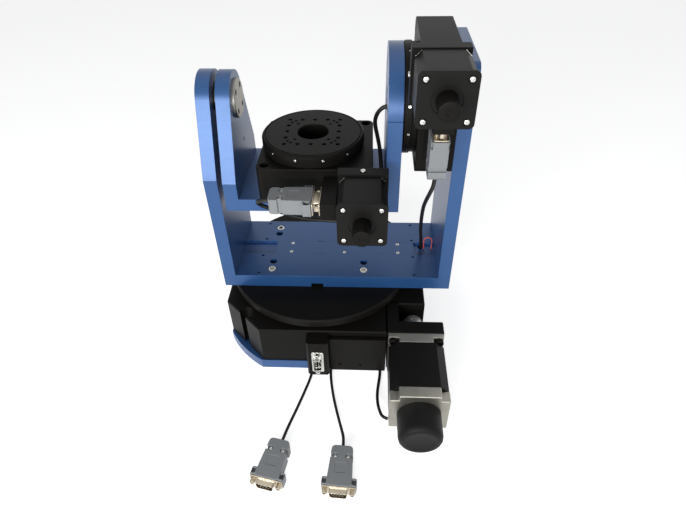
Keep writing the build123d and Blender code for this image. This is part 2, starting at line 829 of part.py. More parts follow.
with BuildPart() as channel_cover:
    with BuildSketch(Plane.XY.offset(plate_top - channel_depth)):
        with Locations((channel_centre_x, 0)):
            Rectangle(channel_cover_end - cover_left_end, channel_width - 2 * channel_cover_play)
    extrude(amount=channel_depth)
    with Locations((channel_centre_x, 0, plate_top)):
        with GridLocations(channel_screw_spacing_x, channel_screw_spacing_y, 3, 2):
            CounterBoreHole(
                channel_screw_radius + clearance, channel_screw_head_radius + running_fit, channel_screw_head
            )
channel_cover.part.label = "channel_cover"
export_step(channel_cover.part, "parts/channel_cover.step")

with BuildPart() as outer_left_upright:
    with BuildSketch(sideways(cradle_left, 0, 0)):
        with Locations((0, (base_table_top + left_kink_height) / 2)):
            Rectangle(2 * cradle_half_depth, left_kink_height - base_table_top)
        with Locations((0, tilt_axis_height)):
            Circle(left_top_radius)
        make_hull()
        with Locations((0, tilt_axis_height)):
            Circle(pivot_bearing_radius, mode=Mode.SUBTRACT)
    extrude(amount=upright_thickness)
    with Locations(facing_left(cradle_left, 0, 0)):
        with Locations((0, base_table_top + cradle_plate_thickness / 2)):
            with GridLocations(upright_screw_spacing, 0, 2, 1):
                CounterBoreHole(
                    upright_screw_radius + clearance, upright_screw_head_radius + clearance, cap_head_height
                )
outer_left_upright.part.label = "outer_left_upright"
export_step(outer_left_upright.part, "parts/outer_left_upright.step")

with BuildPart() as outer_right_upright:
    with BuildSketch(sideways(right_face, 0, 0)) as right_outline:
        with Locations((0, (base_table_top + right_upright_top) / 2)):
            Rectangle(2 * cradle_half_depth, right_upright_top - base_table_top)
        fillet(right_outline.vertices().group_by(Axis.Z)[-1], right_corner_radius)
        with Locations((0, tilt_axis_height)):
            Circle(stage_bore_radius, mode=Mode.SUBTRACT)
    extrude(amount=upright_thickness)
    # Two rows of screws: into the plate below, and into the feet of the tilt stage
    with Locations(sideways(cradle_right, 0, 0)):
        with Locations((0, base_table_top + cradle_plate_thickness / 2)):
            with GridLocations(upright_screw_spacing, 0, 2, 1):
                CounterBoreHole(
                    upright_screw_radius + clearance, upright_screw_head_radius + clearance, cap_head_height
                )
        for foot_x, foot_y in stage_feet:
            with Locations((foot_y, tilt_axis_height + foot_x)):
                CounterBoreHole(
                    upright_screw_radius + clearance, upright_screw_head_radius + clearance, cap_head_height
                )
outer_right_upright.part.label = "outer_right_upright"
export_step(outer_right_upright.part, "parts/outer_right_upright.step")

with BuildPart() as cradle_screws:
    with BuildSketch(Plane.XY.offset(plate_top - cap_head_height)):
        with GridLocations(2 * cradle_screw_x, 2 * cradle_screw_y, 2, 2):
            Circle(cradle_screw_head_radius)
    extrude(amount=cap_head_height - clearance)
    with BuildSketch(Plane.XY.offset(base_table_top - cradle_screw_depth)):
        with GridLocations(2 * cradle_screw_x, 2 * cradle_screw_y, 2, 2):
            Circle(cradle_screw_radius)
    extrude(amount=cradle_screw_depth + cradle_plate_thickness - cap_head_height)
    with BuildSketch(Plane.XY.offset(plate_top - channel_screw_head)):
        with Locations((channel_centre_x, 0)):
            with GridLocations(channel_screw_spacing_x, channel_screw_spacing_y, 3, 2):
                Circle(channel_screw_head_radius)
    extrude(amount=channel_screw_head - running_fit)
    with BuildSketch(Plane.XY.offset(plate_top - channel_depth - channel_screw_depth)):
        with Locations((channel_centre_x, 0)):
            with GridLocations(channel_screw_spacing_x, channel_screw_spacing_y, 3, 2):
                Circle(channel_screw_radius)
    extrude(amount=channel_screw_depth + channel_depth - channel_screw_head)
    head_faces = ((cradle_left + cap_head_height, -1), (cradle_right - cap_head_height, 1))
    for head_seat, outwards in head_faces:
        with BuildSketch(sideways(head_seat, 0, base_table_top + cradle_plate_thickness / 2)):
            with GridLocations(upright_screw_spacing, 0, 2, 1):
                Circle(upright_screw_head_radius)
        extrude(amount=outwards * (cap_head_height - clearance))
        with BuildSketch(sideways(head_seat, 0, base_table_top + cradle_plate_thickness / 2)):
            with GridLocations(upright_screw_spacing, 0, 2, 1):
                Circle(upright_screw_radius)
        extrude(amount=-outwards * (upright_thickness - cap_head_height + upright_screw_depth))
    with BuildSketch(sideways(cradle_right - cap_head_height, 0, tilt_axis_height)):
        for foot_x, foot_y in stage_feet:
            with Locations((foot_y, foot_x)):
                Circle(upright_screw_head_radius)
    extrude(amount=cap_head_height - clearance)
    with BuildSketch(sideways(right_face - stage_foot_depth, 0, tilt_axis_height)):
        for foot_x, foot_y in stage_feet:
            with Locations((foot_y, foot_x)):
                Circle(upright_screw_radius)
    extrude(amount=stage_foot_depth + upright_thickness - cap_head_height)
cradle_screws.part.label = "cradle_screws"
export_step(cradle_screws.part, "parts/cradle_screws.step")

with BuildPart() as pivot_bearing:
    with BuildSketch(sideways(cradle_left, 0, tilt_axis_height)):
        Circle(pivot_bearing_radius)
        Circle(pivot_radius + running_fit, mode=Mode.SUBTRACT)
    extrude(amount=upright_thickness)
pivot_bearing.part.label = "pivot_bearing"
export_step(pivot_bearing.part, "parts/pivot_bearing.step")

# ======================= Inner cradle =======================

with BuildPart() as inner_left_arm:
    with BuildSketch(sideways(-inner_half_width, 0, 0)):
        with Locations((0, (inner_floor_bottom + inner_kink_height) / 2)):
            Rectangle(2 * inner_half_depth, inner_kink_height - inner_floor_bottom)
        with Locations((0, tilt_axis_height)):
            Circle(inner_left_radius)
        make_hull()
        with Locations((0, tilt_axis_height)):
            Circle(pivot_radius, mode=Mode.SUBTRACT)
    extrude(amount=inner_plate)
    with Locations(sideways(inner_left_face, 0, 0)):
        with Locations((left_arm_hole_y, left_arm_hole_z)):
            Hole(left_arm_hole_radius, depth=inner_plate / 2)
        with Locations((0, tilt_axis_height)):
            with PolarLocations(pivot_screw_circle, 4, start_angle=45):
                Hole(pivot_screw_radius + running_fit, depth=pivot_screw_depth)
    with Locations(facing_left(-inner_half_width, 0, 0)):
        with Locations((0, inner_floor_bottom + inner_plate / 2)):
            with GridLocations(arm_screw_spacing, 0, 2, 1):
                CounterBoreHole(
                    upright_screw_radius + clearance, upright_screw_head_radius + clearance, cap_head_height
                )
inner_left_arm.part.label = "inner_left_arm"
export_step(inner_left_arm.part, "parts/inner_left_arm.step")

with BuildPart() as inner_floor:
    with BuildSketch(Plane.XY.offset(inner_floor_bottom)):
        Rectangle(inner_right_face - inner_left_face, 2 * inner_half_depth)
        Circle(stage_bore_radius, mode=Mode.SUBTRACT)
    extrude(amount=inner_plate)
    for end_plane in (facing_left(inner_left_face, 0, 0), sideways(inner_right_face, 0, 0)):
        with Locations(end_plane):
            with Locations((0, inner_floor_bottom + inner_plate / 2)):
                with GridLocations(arm_screw_spacing, 0, 2, 1):
                    Hole(upright_screw_radius + running_fit, depth=upright_screw_depth)
    with Locations(Plane.XY.offset(inner_floor_bottom).rotated((180, 0, 0))):
        for foot_x, foot_y in stage_feet:
            with Locations((foot_x, -foot_y)):
                CounterBoreHole(
                    upright_screw_radius + clearance, upright_screw_head_radius + clearance, cap_head_height
                )
inner_floor.part.label = "inner_floor"
export_step(inner_floor.part, "parts/inner_floor.step")

with BuildPart() as inner_right_arm:
    with BuildSketch(sideways(inner_right_face, 0, 0)):
        with Locations((0, (inner_floor_bottom + tilt_axis_height) / 2)):
            Rectangle(2 * inner_half_depth, tilt_axis_height - inner_floor_bottom)
        with Locations((0, tilt_axis_height)):
            Circle(inner_right_radius)
            Circle(arm_bore_radius, mode=Mode.SUBTRACT)
    extrude(amount=inner_plate)
    with Locations(facing_left(inner_right_face, 0, tilt_axis_height)):
        with GridLocations(2 * stage_pattern_half, 2 * stage_pattern_half, 2, 2):
            CounterBoreHole(
                stage_screw_radius + clearance, stage_screw_head_radius + clearance, stage_screw_head
            )
    with Locations(sideways(inner_half_width, 0, 0)):
        with Locations((0, inner_floor_bottom + inner_plate / 2)):
            with GridLocations(arm_screw_spacing, 0, 2, 1):
                CounterBoreHole(
                    upright_screw_radius + clearance, upright_screw_head_radius + clearance, cap_head_height
                )
inner_right_arm.part.label = "inner_right_arm"
export_step(inner_right_arm.part, "parts/inner_right_arm.step")

with BuildPart() as pivot_flange:
    with BuildSketch(sideways(inner_left_face, 0, tilt_axis_height)):
        Circle(pivot_flange_radius)
    extrude(amount=pivot_flange_thickness)
    chamfer(pivot_flange.faces().sort_by(Axis.X)[-1].edges(), fine_edge_break)
    with BuildSketch(sideways(cradle_left, 0, tilt_axis_height)):
        Circle(pivot_radius)
    extrude(amount=inner_left_face - cradle_left)
    with Locations(sideways(inner_left_face + pivot_flange_thickness, 0, tilt_axis_height)):
        with PolarLocations(pivot_screw_circle, 4, start_angle=45):
            CounterBoreHole(
                pivot_screw_radius + running_fit, pivot_screw_head_radius + running_fit, pivot_screw_head
            )
pivot_flange.part.label = "pivot_flange"
export_step(pivot_flange.part, "parts/pivot_flange.step")

with BuildPart() as inner_screws:
    flange_face = inner_left_face + pivot_flange_thickness
    with BuildSketch(sideways(flange_face - pivot_screw_head, 0, tilt_axis_height)):
        with PolarLocations(pivot_screw_circle, 4, start_angle=45):
            Circle(pivot_screw_head_radius)
    extrude(amount=pivot_screw_head - running_fit)
    with BuildSketch(sideways(inner_left_face - pivot_screw_depth, 0, tilt_axis_height)):
        with PolarLocations(pivot_screw_circle, 4, start_angle=45):
            Circle(pivot_screw_radius)
    extrude(amount=pivot_screw_depth + pivot_flange_thickness - pivot_screw_head)
    with BuildSketch(sideways(inner_right_face + stage_screw_head, 0, tilt_axis_height)):
        with GridLocations(2 * stage_pattern_half, 2 * stage_pattern_half, 2, 2):
            Circle(stage_screw_head_radius)
    extrude(amount=clearance - stage_screw_head)
    with BuildSketch(sideways(inner_right_face + stage_screw_head, 0, tilt_axis_height)):
        with GridLocations(2 * stage_pattern_half, 2 * stage_pattern_half, 2, 2):
            Circle(stage_screw_radius)
    extrude(amount=inner_plate - stage_screw_head + stage_screw_depth)
    for head_seat, outwards in (
        (cap_head_height - inner_half_width, -1),
        (inner_half_width - cap_head_height, 1),
    ):
        with BuildSketch(sideways(head_seat, 0, inner_floor_bottom + inner_plate / 2)):
            with GridLocations(arm_screw_spacing, 0, 2, 1):
                Circle(upright_screw_head_radius)
        extrude(amount=outwards * (cap_head_height - clearance))
        with BuildSketch(sideways(head_seat, 0, inner_floor_bottom + inner_plate / 2)):
            with GridLocations(arm_screw_spacing, 0, 2, 1):
                Circle(upright_screw_radius)
        extrude(amount=-outwards * (inner_plate - cap_head_height + upright_screw_depth))
    with BuildSketch(Plane.XY.offset(inner_floor_bottom + cap_head_height)):
        with Locations(*stage_feet):
            Circle(upright_screw_head_radius)
    extrude(amount=clearance - cap_head_height)
    with BuildSketch(Plane.XY.offset(inner_floor_bottom + cap_head_height)):
        with Locations(*stage_feet):
            Circle(upright_screw_radius)
    extrude(amount=inner_plate - cap_head_height + stage_foot_depth)
inner_screws.part.label = "inner_screws"
export_step(inner_screws.part, "parts/inner_screws.step")

# ======================= The 100 mm stage, made twice =======================

corner_x = (-stage_half + stage_hole_inset, stage_right - stage_hole_inset)
# The motor bracket takes up the front right corner
stage_bolts = (
    (corner_x[0], -stage_hole_y),
    (corner_x[0], stage_hole_y),
    (corner_x[1], stage_hole_y),
)


def stage_housing():
    """Black housing: worm wheel chamber, bearing seat, worm tunnel and corner holes."""
    with BuildPart() as housing:
        with BuildSketch() as outline:
            with Locations((stage_centre_x, 0)):
                RectangleRounded(stage_right + stage_half, 2 * stage_half, stage_corner_radius)
            Circle(stage_chamber_radius, mode=Mode.SUBTRACT)
        extrude(amount=stage_roof_bottom)
        with BuildSketch(Plane.XY.offset(stage_roof_bottom)):
            with Locations((stage_centre_x, 0)):
                RectangleRounded(stage_right + stage_half, 2 * stage_half, stage_corner_radius)
            Circle(stage_race_seat_radius - stage_race_lip, mode=Mode.SUBTRACT)
        extrude(amount=stage_housing_height - stage_roof_bottom)
        with BuildSketch(Plane.XY.offset(stage_race_bottom)):
            Circle(stage_race_seat_radius)
        extrude(amount=stage_race_height + stage_housing_height, mode=Mode.SUBTRACT)
        with BuildSketch(across(stage_worm_x, -stage_half, stage_worm_z)):
            Circle(stage_tunnel_radius)
        extrude(amount=-(stage_half + stage_worm_length / 2 + stage_bearing_width), mode=Mode.SUBTRACT)
        with BuildSketch(Plane.XY.offset(stage_housing_height)):
            with Locations(*stage_bolts):
                Circle(stage_hole_radius)
        extrude(amount=-stage_bolt_depth, mode=Mode.SUBTRACT)
        with BuildSketch():
            with Locations(*stage_bolts):
                Circle(stage_bolt_radius)
        extrude(amount=stage_housing_height, mode=Mode.SUBTRACT)
        with BuildSketch():
            with Locations(*stage_feet):
                Circle(upright_screw_radius + running_fit)
        extrude(amount=stage_foot_depth, mode=Mode.SUBTRACT)
    return housing.part


def stage_bearing():
    """Outer race with its rollers, and the two rings that carry the worm shaft."""
    middle = (stage_inner_race_radius + stage_outer_race_radius) / 2
    with BuildPart() as bearing:
        with BuildSketch(Plane.XY.offset(stage_race_bottom)):
            Circle(stage_race_seat_radius)
            Circle(stage_outer_race_radius, mode=Mode.SUBTRACT)
        extrude(amount=stage_race_height)
        with BuildSketch(Plane.XY.offset(stage_race_bottom + stage_race_shield)):
            with PolarLocations(middle, stage_roller_count):
                Circle((stage_outer_race_radius - stage_inner_race_radius) / 2 - roller_play)
        extrude(amount=stage_race_height - 2 * stage_race_shield)
        for ring_y in (-stage_half, stage_worm_length / 2):
            with BuildSketch(across(stage_worm_x, ring_y, stage_worm_z)):
                Circle(stage_tunnel_radius)
                Circle(stage_worm_shaft_radius + running_fit, mode=Mode.SUBTRACT)
            extrude(amount=-stage_bearing_width)
    return bearing.part


def stage_worm():
    """Worm with its shaft, the clamp coupling and the motor's shaft, which turn as one."""
    worm_start = -stage_worm_length / 2
    shaft_end = adapter_back + stage_shaft_gap
    with BuildPart() as worm:
        with BuildSketch(across(stage_worm_x, worm_start, stage_worm_z)):
            Circle(stage_worm_radius)
        extrude(amount=-stage_worm_length + clearance)
        with BuildSketch(across(stage_worm_x, shaft_end, stage_worm_z)):
            Circle(stage_worm_shaft_radius)
        extrude(amount=shaft_end - stage_worm_length / 2 - stage_bearing_width)
        with BuildSketch(across(stage_worm_x, -stage_half - clearance, stage_worm_z)):
            Circle(stage_coupling_radius)
        extrude(amount=-adapter_back - stage_half - 2 * clearance)
        with BuildSketch(across(stage_worm_x, adapter_back + clearance, stage_worm_z)):
            Circle(motor42_shaft_radius)
        extrude(amount=adapter_back - stage_motor_face)
    return worm.part


def stage_bracket():
    """Motor bracket: adapter plate, side wall and floor, open above the coupling."""
    centre = (stage_worm_x, stage_worm_z + adapter_rise)
    left = centre[0] - adapter_width / 2
    bottom = centre[1] - adapter_width / 2
    with BuildPart() as bracket:
        with BuildSketch(across(centre[0], adapter_back, centre[1])):
            Rectangle(adapter_width, adapter_width)
        extrude(amount=adapter_thickness)
        with BuildSketch(across(0, -stage_half, 0)):
            with Locations((left + adapter_wall / 2, (bottom + stage_bracket_wall_top) / 2)):
                Rectangle(adapter_wall, stage_bracket_wall_top - bottom)
            with Locations(((left + stage_right) / 2, bottom + adapter_wall / 2)):
                Rectangle(stage_right - left, adapter_wall)
        extrude(amount=-adapter_back - stage_half)
        with Locations(across(stage_worm_x, stage_motor_face, stage_worm_z)):
            Hole(motor42_pilot_radius + running_fit, depth=adapter_thickness)
    return bracket.part


def stage_motor():
    """Black motor body with its pilot, hollow for the shaft."""
    with BuildPart() as motor:
        with BuildSketch(across(stage_worm_x, stage_motor_face, stage_worm_z)) as outline:
            Rectangle(motor42_width - clearance, motor42_width - clearance)
            chamfer(outline.vertices(), motor42_body_chamfer)
        extrude(amount=motor42_body)
        with BuildSketch(across(stage_worm_x, stage_motor_face, stage_worm_z)):
            Circle(motor42_pilot_radius)
        extrude(amount=-motor42_pilot_height)
        with Locations(across(stage_worm_x, stage_cover_face, stage_worm_z)):
            Hole(motor42_shaft_radius + running_fit)
    return motor.part


def stage_motor_cover():
    """Rear cover of the motor, with its four screws."""
    with BuildPart() as cover:
        with BuildSketch(across(stage_worm_x, stage_cover_face, stage_worm_z)):
            RectangleRounded(motor42_width, motor42_width, motor42_cover_radius)
            Circle(motor42_shaft_radius + running_fit, mode=Mode.SUBTRACT)
        extrude(amount=motor42_cover)
        with BuildSketch(across(stage_worm_x, stage_knob_face, stage_worm_z)):
            with GridLocations(motor42_bolt_spacing, motor42_bolt_spacing, 2, 2):
                Circle(motor42_screw_head_radius)
        extrude(amount=motor42_screw_head)
    return cover.part


def stage_knob():
    """Hand knob on the motor's rear shaft."""
    with BuildPart() as knob:
        with BuildSketch(across(stage_worm_x, stage_knob_face - clearance, stage_worm_z)):
            Circle(stage_knob_radius)
        extrude(amount=stage_knob_length)
        fillet(knob.faces().sort_by(Axis.Y)[0].edges(), stage_knob_rim)
        with BuildSketch(across(stage_worm_x, stage_knob_face - clearance, stage_worm_z)):
            Circle(motor42_shaft_radius)
        extrude(amount=stage_knob_face - clearance - stage_motor_face)
    return knob.part


def stage_connector_block():
    """Block beside the motor bracket that holds the nine-pin connector."""
    depth = -stage_block_front - stage_half
    with BuildPart() as block:
        with BuildSketch(across(0, -stage_half, stage_dsub_z)):
            with Locations(((stage_block_left + stage_block_right) / 2, 0)):
                Rectangle(stage_block_right - stage_block_left, stage_block_height)
        extrude(amount=depth)
        chamfer(block.faces().sort_by(Axis.Y)[0].edges(), stage_block_chamfer)
    return block.part


def stage_connector():
    """The block's metal connector and, around its shell, the metal flange of the plug."""
    face = Plane(
        origin=(stage_block_left, stage_dsub_y, stage_dsub_z), x_dir=(0, -1, 0), z_dir=(-1, 0, 0)
    )
    with BuildPart() as metal:
        add(dsub(face, dsub_depth))
        with BuildSketch(face.offset(dsub_depth)):
            Rectangle(dsub_flange_length, dsub_flange_height)
        extrude(amount=dsub_flange_thickness)
    return metal.part


def stage_table():
    """Rotating table: bored disc with a rim, a fine groove, tapped holes and its hub."""
    with BuildPart() as table:
        with BuildSketch(Plane.XY.offset(stage_height - stage_rim_height)):
            Circle(stage_table_radius)
        extrude(amount=stage_rim_height)
        chamfer(table.faces().sort_by(Axis.Z)[-1].edges(), stage_table_chamfer)
        skirt_bottom = stage_housing_height + clearance
        with BuildSketch(Plane.XY.offset(skirt_bottom)):
            Circle(stage_table_radius - stage_rim_step)
        extrude(amount=stage_height - stage_rim_height - skirt_bottom)
        with BuildSketch(Plane.XY.offset(stage_hub_bottom)):
            Circle(stage_hub_radius)
        extrude(amount=skirt_bottom - stage_hub_bottom)
        with BuildSketch(Plane.XY.offset(stage_height)):
            Circle(stage_groove_radius + stage_groove_width)
            Circle(stage_groove_radius, mode=Mode.SUBTRACT)
        extrude(amount=-stage_groove_depth, mode=Mode.SUBTRACT)
        with BuildSketch(Plane.XY.offset(stage_height)):
            Circle(stage_bore_radius)
        extrude(amount=-stage_height, mode=Mode.SUBTRACT)
        with Locations((0, 0, stage_height)):
            with PolarLocations(stage_pattern_half, 4):
                for step in (-stage_pattern_spacing, 0, stage_pattern_spacing):
                    with Locations((0, step)):
                        Hole(stage_pattern_hole_radius, depth=stage_pattern_hole_depth)
            with PolarLocations(stage_pattern_half * math.sqrt(2), 4, start_angle=45):
                Hole(stage_pattern_hole_radius, depth=stage_pattern_hole_depth)
    return table.part


def stage_wheel():
    """Worm wheel and the bearing's inner race, both fixed on the table's hub."""
    with BuildPart() as wheel:
        with BuildSketch(Plane.XY.offset(stage_wheel_bottom)):
            Circle(stage_wheel_radius)
            Circle(stage_hub_radius, mode=Mode.SUBTRACT)
        extrude(amount=stage_wheel_width)
        with BuildSketch(Plane.XY.offset(stage_race_bottom)):
            Circle(stage_inner_race_radius)
            Circle(stage_hub_radius, mode=Mode.SUBTRACT)
        extrude(amount=stage_race_height)
    return wheel.part


stage_pieces = {
    "housing": stage_housing(),
    "bearing": stage_bearing(),
    "worm": stage_worm(),
    "bracket": stage_bracket(),
    "motor": stage_motor(),
    "motor_cover": stage_motor_cover(),
    "knob": stage_knob(),
    "connector_block": stage_connector_block(),
    "connector": stage_connector(),
    "table": stage_table(),
    "wheel": stage_wheel(),
    "plug": hood().moved(Location((stage_block_left - stage_plug_gap, stage_dsub_y, stage_dsub_z))),
}
for stage_name, place in stage_places.items():
    for piece_name, piece in stage_pieces.items():
        save(piece, f"{stage_name}_{piece_name}", place)

# ======================= Plugs on the floor and leads =======================

for side, (end_x, end_y, heading) in floor_plugs.items():
    forward = Location((end_x, end_y, hood_thickness / 2), (0, 0, heading))
    at_face = forward * Location((hood_length, 0, 0))
    mating = Plane(origin=(0, 0, 0), x_dir=(0, 1, 0), z_dir=(1, 0, 0))
    save(hood(), f"{side}_plug_hood", at_face)
    save(dsub(mating, dsub_depth), f"{side}_plug_shell", at_face)


def lead(name, diameter, route):
    """A plain lead: straight runs joined by the largest arcs that fit, along hand-set points."""
    points = [Vector(*point) for point in route]
    radii = []
    for before, corner, after in zip(points, points[1:], points[2:]):
        half_turn = math.radians((corner - before).get_angle(after - corner) / 2)
        shorter = min((corner - before).length, (after - corner).length)
        radii.append(lead_corner_share * shorter / math.tan(half_turn))
    with BuildPart() as tube:
        with BuildLine() as path:
            FilletPolyline(*route, radius=radii)
        with BuildSketch(Plane(origin=route[0], z_dir=points[1] - points[0])):
            Circle(diameter / 2)
        sweep(path=path.wires()[0])
    length = path.wires()[0].length
    section = math.pi * diameter**2 / 4
    print(name, "length", round(length, 1), "volume ratio", round(tube.part.volume / section / length, 4))
    print(name, "radii", [round(radius, 1) for radius in radii])
    save(tube.part, name)


for lead_name, (lead_diameter, lead_route) in leads.items():
    lead(lead_name, lead_diameter, lead_route)
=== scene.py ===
"""Looks of the motorised three-axis rotation stage: a big turntable base, an outer cradle,
a tilt stage on its side and a small turntable in the inner cradle.

Pieces are modelled in millimetres, most of them in a handy frame of their own. set_down()
puts each one into the model's frame, in metres, with its place in its mesh.
"""

import json
import math

import bpy
from mathutils import Matrix, Vector


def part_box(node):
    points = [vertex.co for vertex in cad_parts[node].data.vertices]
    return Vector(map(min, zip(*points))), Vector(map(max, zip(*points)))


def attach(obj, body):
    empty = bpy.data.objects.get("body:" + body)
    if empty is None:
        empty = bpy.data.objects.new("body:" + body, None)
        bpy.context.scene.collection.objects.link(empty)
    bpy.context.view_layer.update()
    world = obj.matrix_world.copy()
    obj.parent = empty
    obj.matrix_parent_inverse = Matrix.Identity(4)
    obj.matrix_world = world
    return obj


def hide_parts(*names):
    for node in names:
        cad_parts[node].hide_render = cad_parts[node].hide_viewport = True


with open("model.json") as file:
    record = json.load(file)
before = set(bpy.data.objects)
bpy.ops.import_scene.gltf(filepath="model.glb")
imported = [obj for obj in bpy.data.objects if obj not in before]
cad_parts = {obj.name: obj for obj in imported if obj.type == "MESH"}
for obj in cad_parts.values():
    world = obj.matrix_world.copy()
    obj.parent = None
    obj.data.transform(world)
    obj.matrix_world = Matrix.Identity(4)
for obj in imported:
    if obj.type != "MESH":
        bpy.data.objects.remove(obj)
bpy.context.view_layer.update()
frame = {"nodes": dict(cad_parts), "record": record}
nodes = frame["nodes"]

MM = 0.001
SMOOTH_ANGLE = math.radians(35)
UP, DOWN = (0, 0, 1), (0, 0, -1)
RIGHT, LEFT = (1, 0, 0), (-1, 0, 0)
FRONT, BACK = (0, -1, 0), (0, 1, 0)
X, Y, Z = 0, 1, 2


# ---------------------------------------------------------------- shader helpers


class Wire:
    """An output socket in a node tree, on which arithmetic adds Math nodes."""

    def __init__(self, wiring, socket):
        self.wiring = wiring
        self.socket = socket

    def math(self, operation, first, second):
        return self.wiring.node("ShaderNodeMath", {"operation": operation}, {0: first, 1: second})

    def __add__(self, other):
        return self.math("ADD", self, other)

    def __sub__(self, other):
        return self.math("SUBTRACT", self, other)

    def __mul__(self, other):
        return self.math("MULTIPLY", self, other)

    def __rsub__(self, other):
        return self.math("SUBTRACT", other, self)

    __radd__ = __add__
    __rmul__ = __mul__


class Wiring:
    """A node tree that is filled node by node."""

    def __init__(self, tree):
        self.tree = tree

    def node(self, kind, settings=None, sockets=None, output=0):
        made = self.tree.nodes.new(kind)
        for name, value in (settings or {}).items():
            setattr(made, name, value)
        for name, value in (sockets or {}).items():
            self.feed(made.inputs[name], value)
        return Wire(self, made.outputs[output])

    def feed(self, socket, value):
        if isinstance(value, Wire):
            self.tree.links.new(value.socket, socket)
        else:
            socket.default_value = value

    def background_rays(self):
        """1 for the rays that are to see a white background, 0 for those that light pieces."""
        outputs = self.node("ShaderNodeLightPath").socket.node.outputs
        kinds = ("Camera", "Glossy", "Transmission")
        camera, glossy, through = (Wire(self, outputs[f"Is {kind} Ray"]) for kind in kinds)
        return camera + glossy + through


class Finish(Wiring):
    """A material and the nodes that make it up."""

    def __init__(self, name):
        self.material = bpy.data.materials.new(name)
        self.material.use_nodes = True
        super().__init__(self.material.node_tree)
        self.surface = self.tree.nodes["Principled BSDF"]
        self.place = self.node("ShaderNodeTexCoord", output="Object")

    def set(self, **sockets):
        for name, value in sockets.items():
            self.feed(self.surface.inputs[name.replace("_", " ")], value)

    def noise(self, size, detail, stretch=(1, 1, 1)):
        """Noise whose spots are about that many millimetres across, longer where stretched."""
        scale = [1 / (size * MM * one) for one in stretch]
        spots = self.node("ShaderNodeMapping", None, {"Vector": self.place, "Scale": scale})
        sockets = {"Vector": spots, "Scale": 1.0, "Detail": detail}
        return self.node("ShaderNodeTexNoise", None, sockets)

    def blend(self, amount, first, second):
        """From the first colour to the second, as far as the amount says."""
        sockets = {"Factor": amount, 6: first, 7: second}
        return self.node("ShaderNodeMix", {"data_type": "RGBA"}, sockets, output=2)

    def rounded(self, radius, height, strength, depth):
        """Normal with softened edges of that radius in millimetres, and a fine relief on it."""
        edge = self.node("ShaderNodeBevel", {"samples": 6}, {"Radius": radius * MM})
        relief = {"Strength": strength, "Distance": depth * MM, "Height": height, "Normal": edge}
        return self.node("ShaderNodeBump", None, relief)


def tone(red, green, blue):
    """A display colour as the linear colour that shaders take."""
    line = [c / 12.92 if c <= 0.04045 else ((c + 0.055) / 1.055) ** 2.4 for c in (red, green, blue)]
    return (*line, 1.0)


# ---------------------------------------------------------------- finishes


def anodised(name, dark, light, metallic, specular, roughness, coat=0.0):
    """Bead-blasted and anodised aluminium: fine grain, faint clouding and softened edges."""
    finish = Finish(name)
    cloud = finish.noise(45, 2.0)
    grain = finish.noise(0.35, 4.0)
    drawn = finish.noise(0.5, 3.0, stretch=(30, 1, 30))
    finish.set(
        Base_Color=finish.blend(cloud * 0.7 + grain * 0.3, dark, light),
        Metallic=metallic,
        Specular_IOR_Level=specular,
        Roughness=roughness + (grain + drawn - 1.0) * 0.08,
        Coat_Weight=coat,
        Coat_Roughness=0.32,
        Normal=finish.rounded(0.5, grain + drawn * 0.6, 0.25, 0.03),
    )
    return finish.material


def painted_motor():
    """Black satin of the motor bodies, with the fine lines of the lamination stack."""
    finish = Finish("motor_black")
    grain = finish.noise(0.6, 3.0)
    sheets = finish.node(
        "ShaderNodeTexWave",
        {"wave_type": "BANDS", "bands_direction": "Y"},
        {"Vector": finish.place, "Scale": 320.0, "Distortion": 0.0},
        output="Fac",
    )
    finish.set(
        Base_Color=finish.blend(grain, tone(0.06, 0.058, 0.055), tone(0.09, 0.086, 0.08)),
        Specular_IOR_Level=0.1,
        Roughness=0.36 + grain * 0.14,
        Normal=finish.rounded(0.4, sheets * 0.5 + grain * 0.5, 0.18, 0.03),
    )
    return finish.material


def bare_metal(name, dark, light, roughness, metallic=1.0):
    """Bare or plated metal with fine machining marks."""
    finish = Finish(name)
    marks = finish.noise(0.4, 4.0)
    wear = finish.noise(9, 3.0)
    finish.set(
        Base_Color=finish.blend(wear, dark, light),
        Metallic=metallic,
        Roughness=roughness + (marks - 0.5) * 0.16,
        Normal=finish.rounded(0.4, marks, 0.3, 0.02),
    )
    return finish.material


def moulded(name, dark, light, roughness, grain_size, specular=0.3, edge=0.6):
    """Moulded plastic or rubber with a fine eroded texture."""
    finish = Finish(name)
    grain = finish.noise(grain_size, 4.0)
    patch = finish.noise(14, 2.0)
    finish.set(
        Base_Color=finish.blend(patch * 0.6 + grain * 0.4, dark, light),
        Specular_IOR_Level=specular,
        Roughness=roughness + (grain - 0.5) * 0.15,
        Normal=finish.rounded(edge, grain, 0.35, 0.05),
    )
    return finish.material


blue = anodised(
    "blue_anodised",
    tone(0.11, 0.27, 0.475),
    tone(0.16, 0.335, 0.54),
    metallic=0.33,
    specular=0.4,
    roughness=0.38,
    coat=0.35,
)
black = anodised(
    "black_anodised",
    tone(0.06, 0.057, 0.053),
    tone(0.09, 0.086, 0.078),
    metallic=0.0,
    specular=0.07,
    roughness=0.42,
)
motor_black = painted_motor()
silver = bare_metal("cast_silver", tone(0.54, 0.53, 0.50), tone(0.64, 0.63, 0.59), 0.42)
turned_alloy = bare_metal(
    "turned_alloy", tone(0.74, 0.75, 0.74), tone(0.84, 0.85, 0.84), 0.42, metallic=0.5
)
steel = bare_metal("bright_steel", tone(0.74, 0.74, 0.72), tone(0.86, 0.86, 0.84), 0.24)
gold = bare_metal("gold_shell", tone(0.62, 0.58, 0.51), tone(0.76, 0.72, 0.65), 0.3)
bronze = bare_metal("bronze", tone(0.62, 0.48, 0.30), tone(0.72, 0.58, 0.38), 0.35)
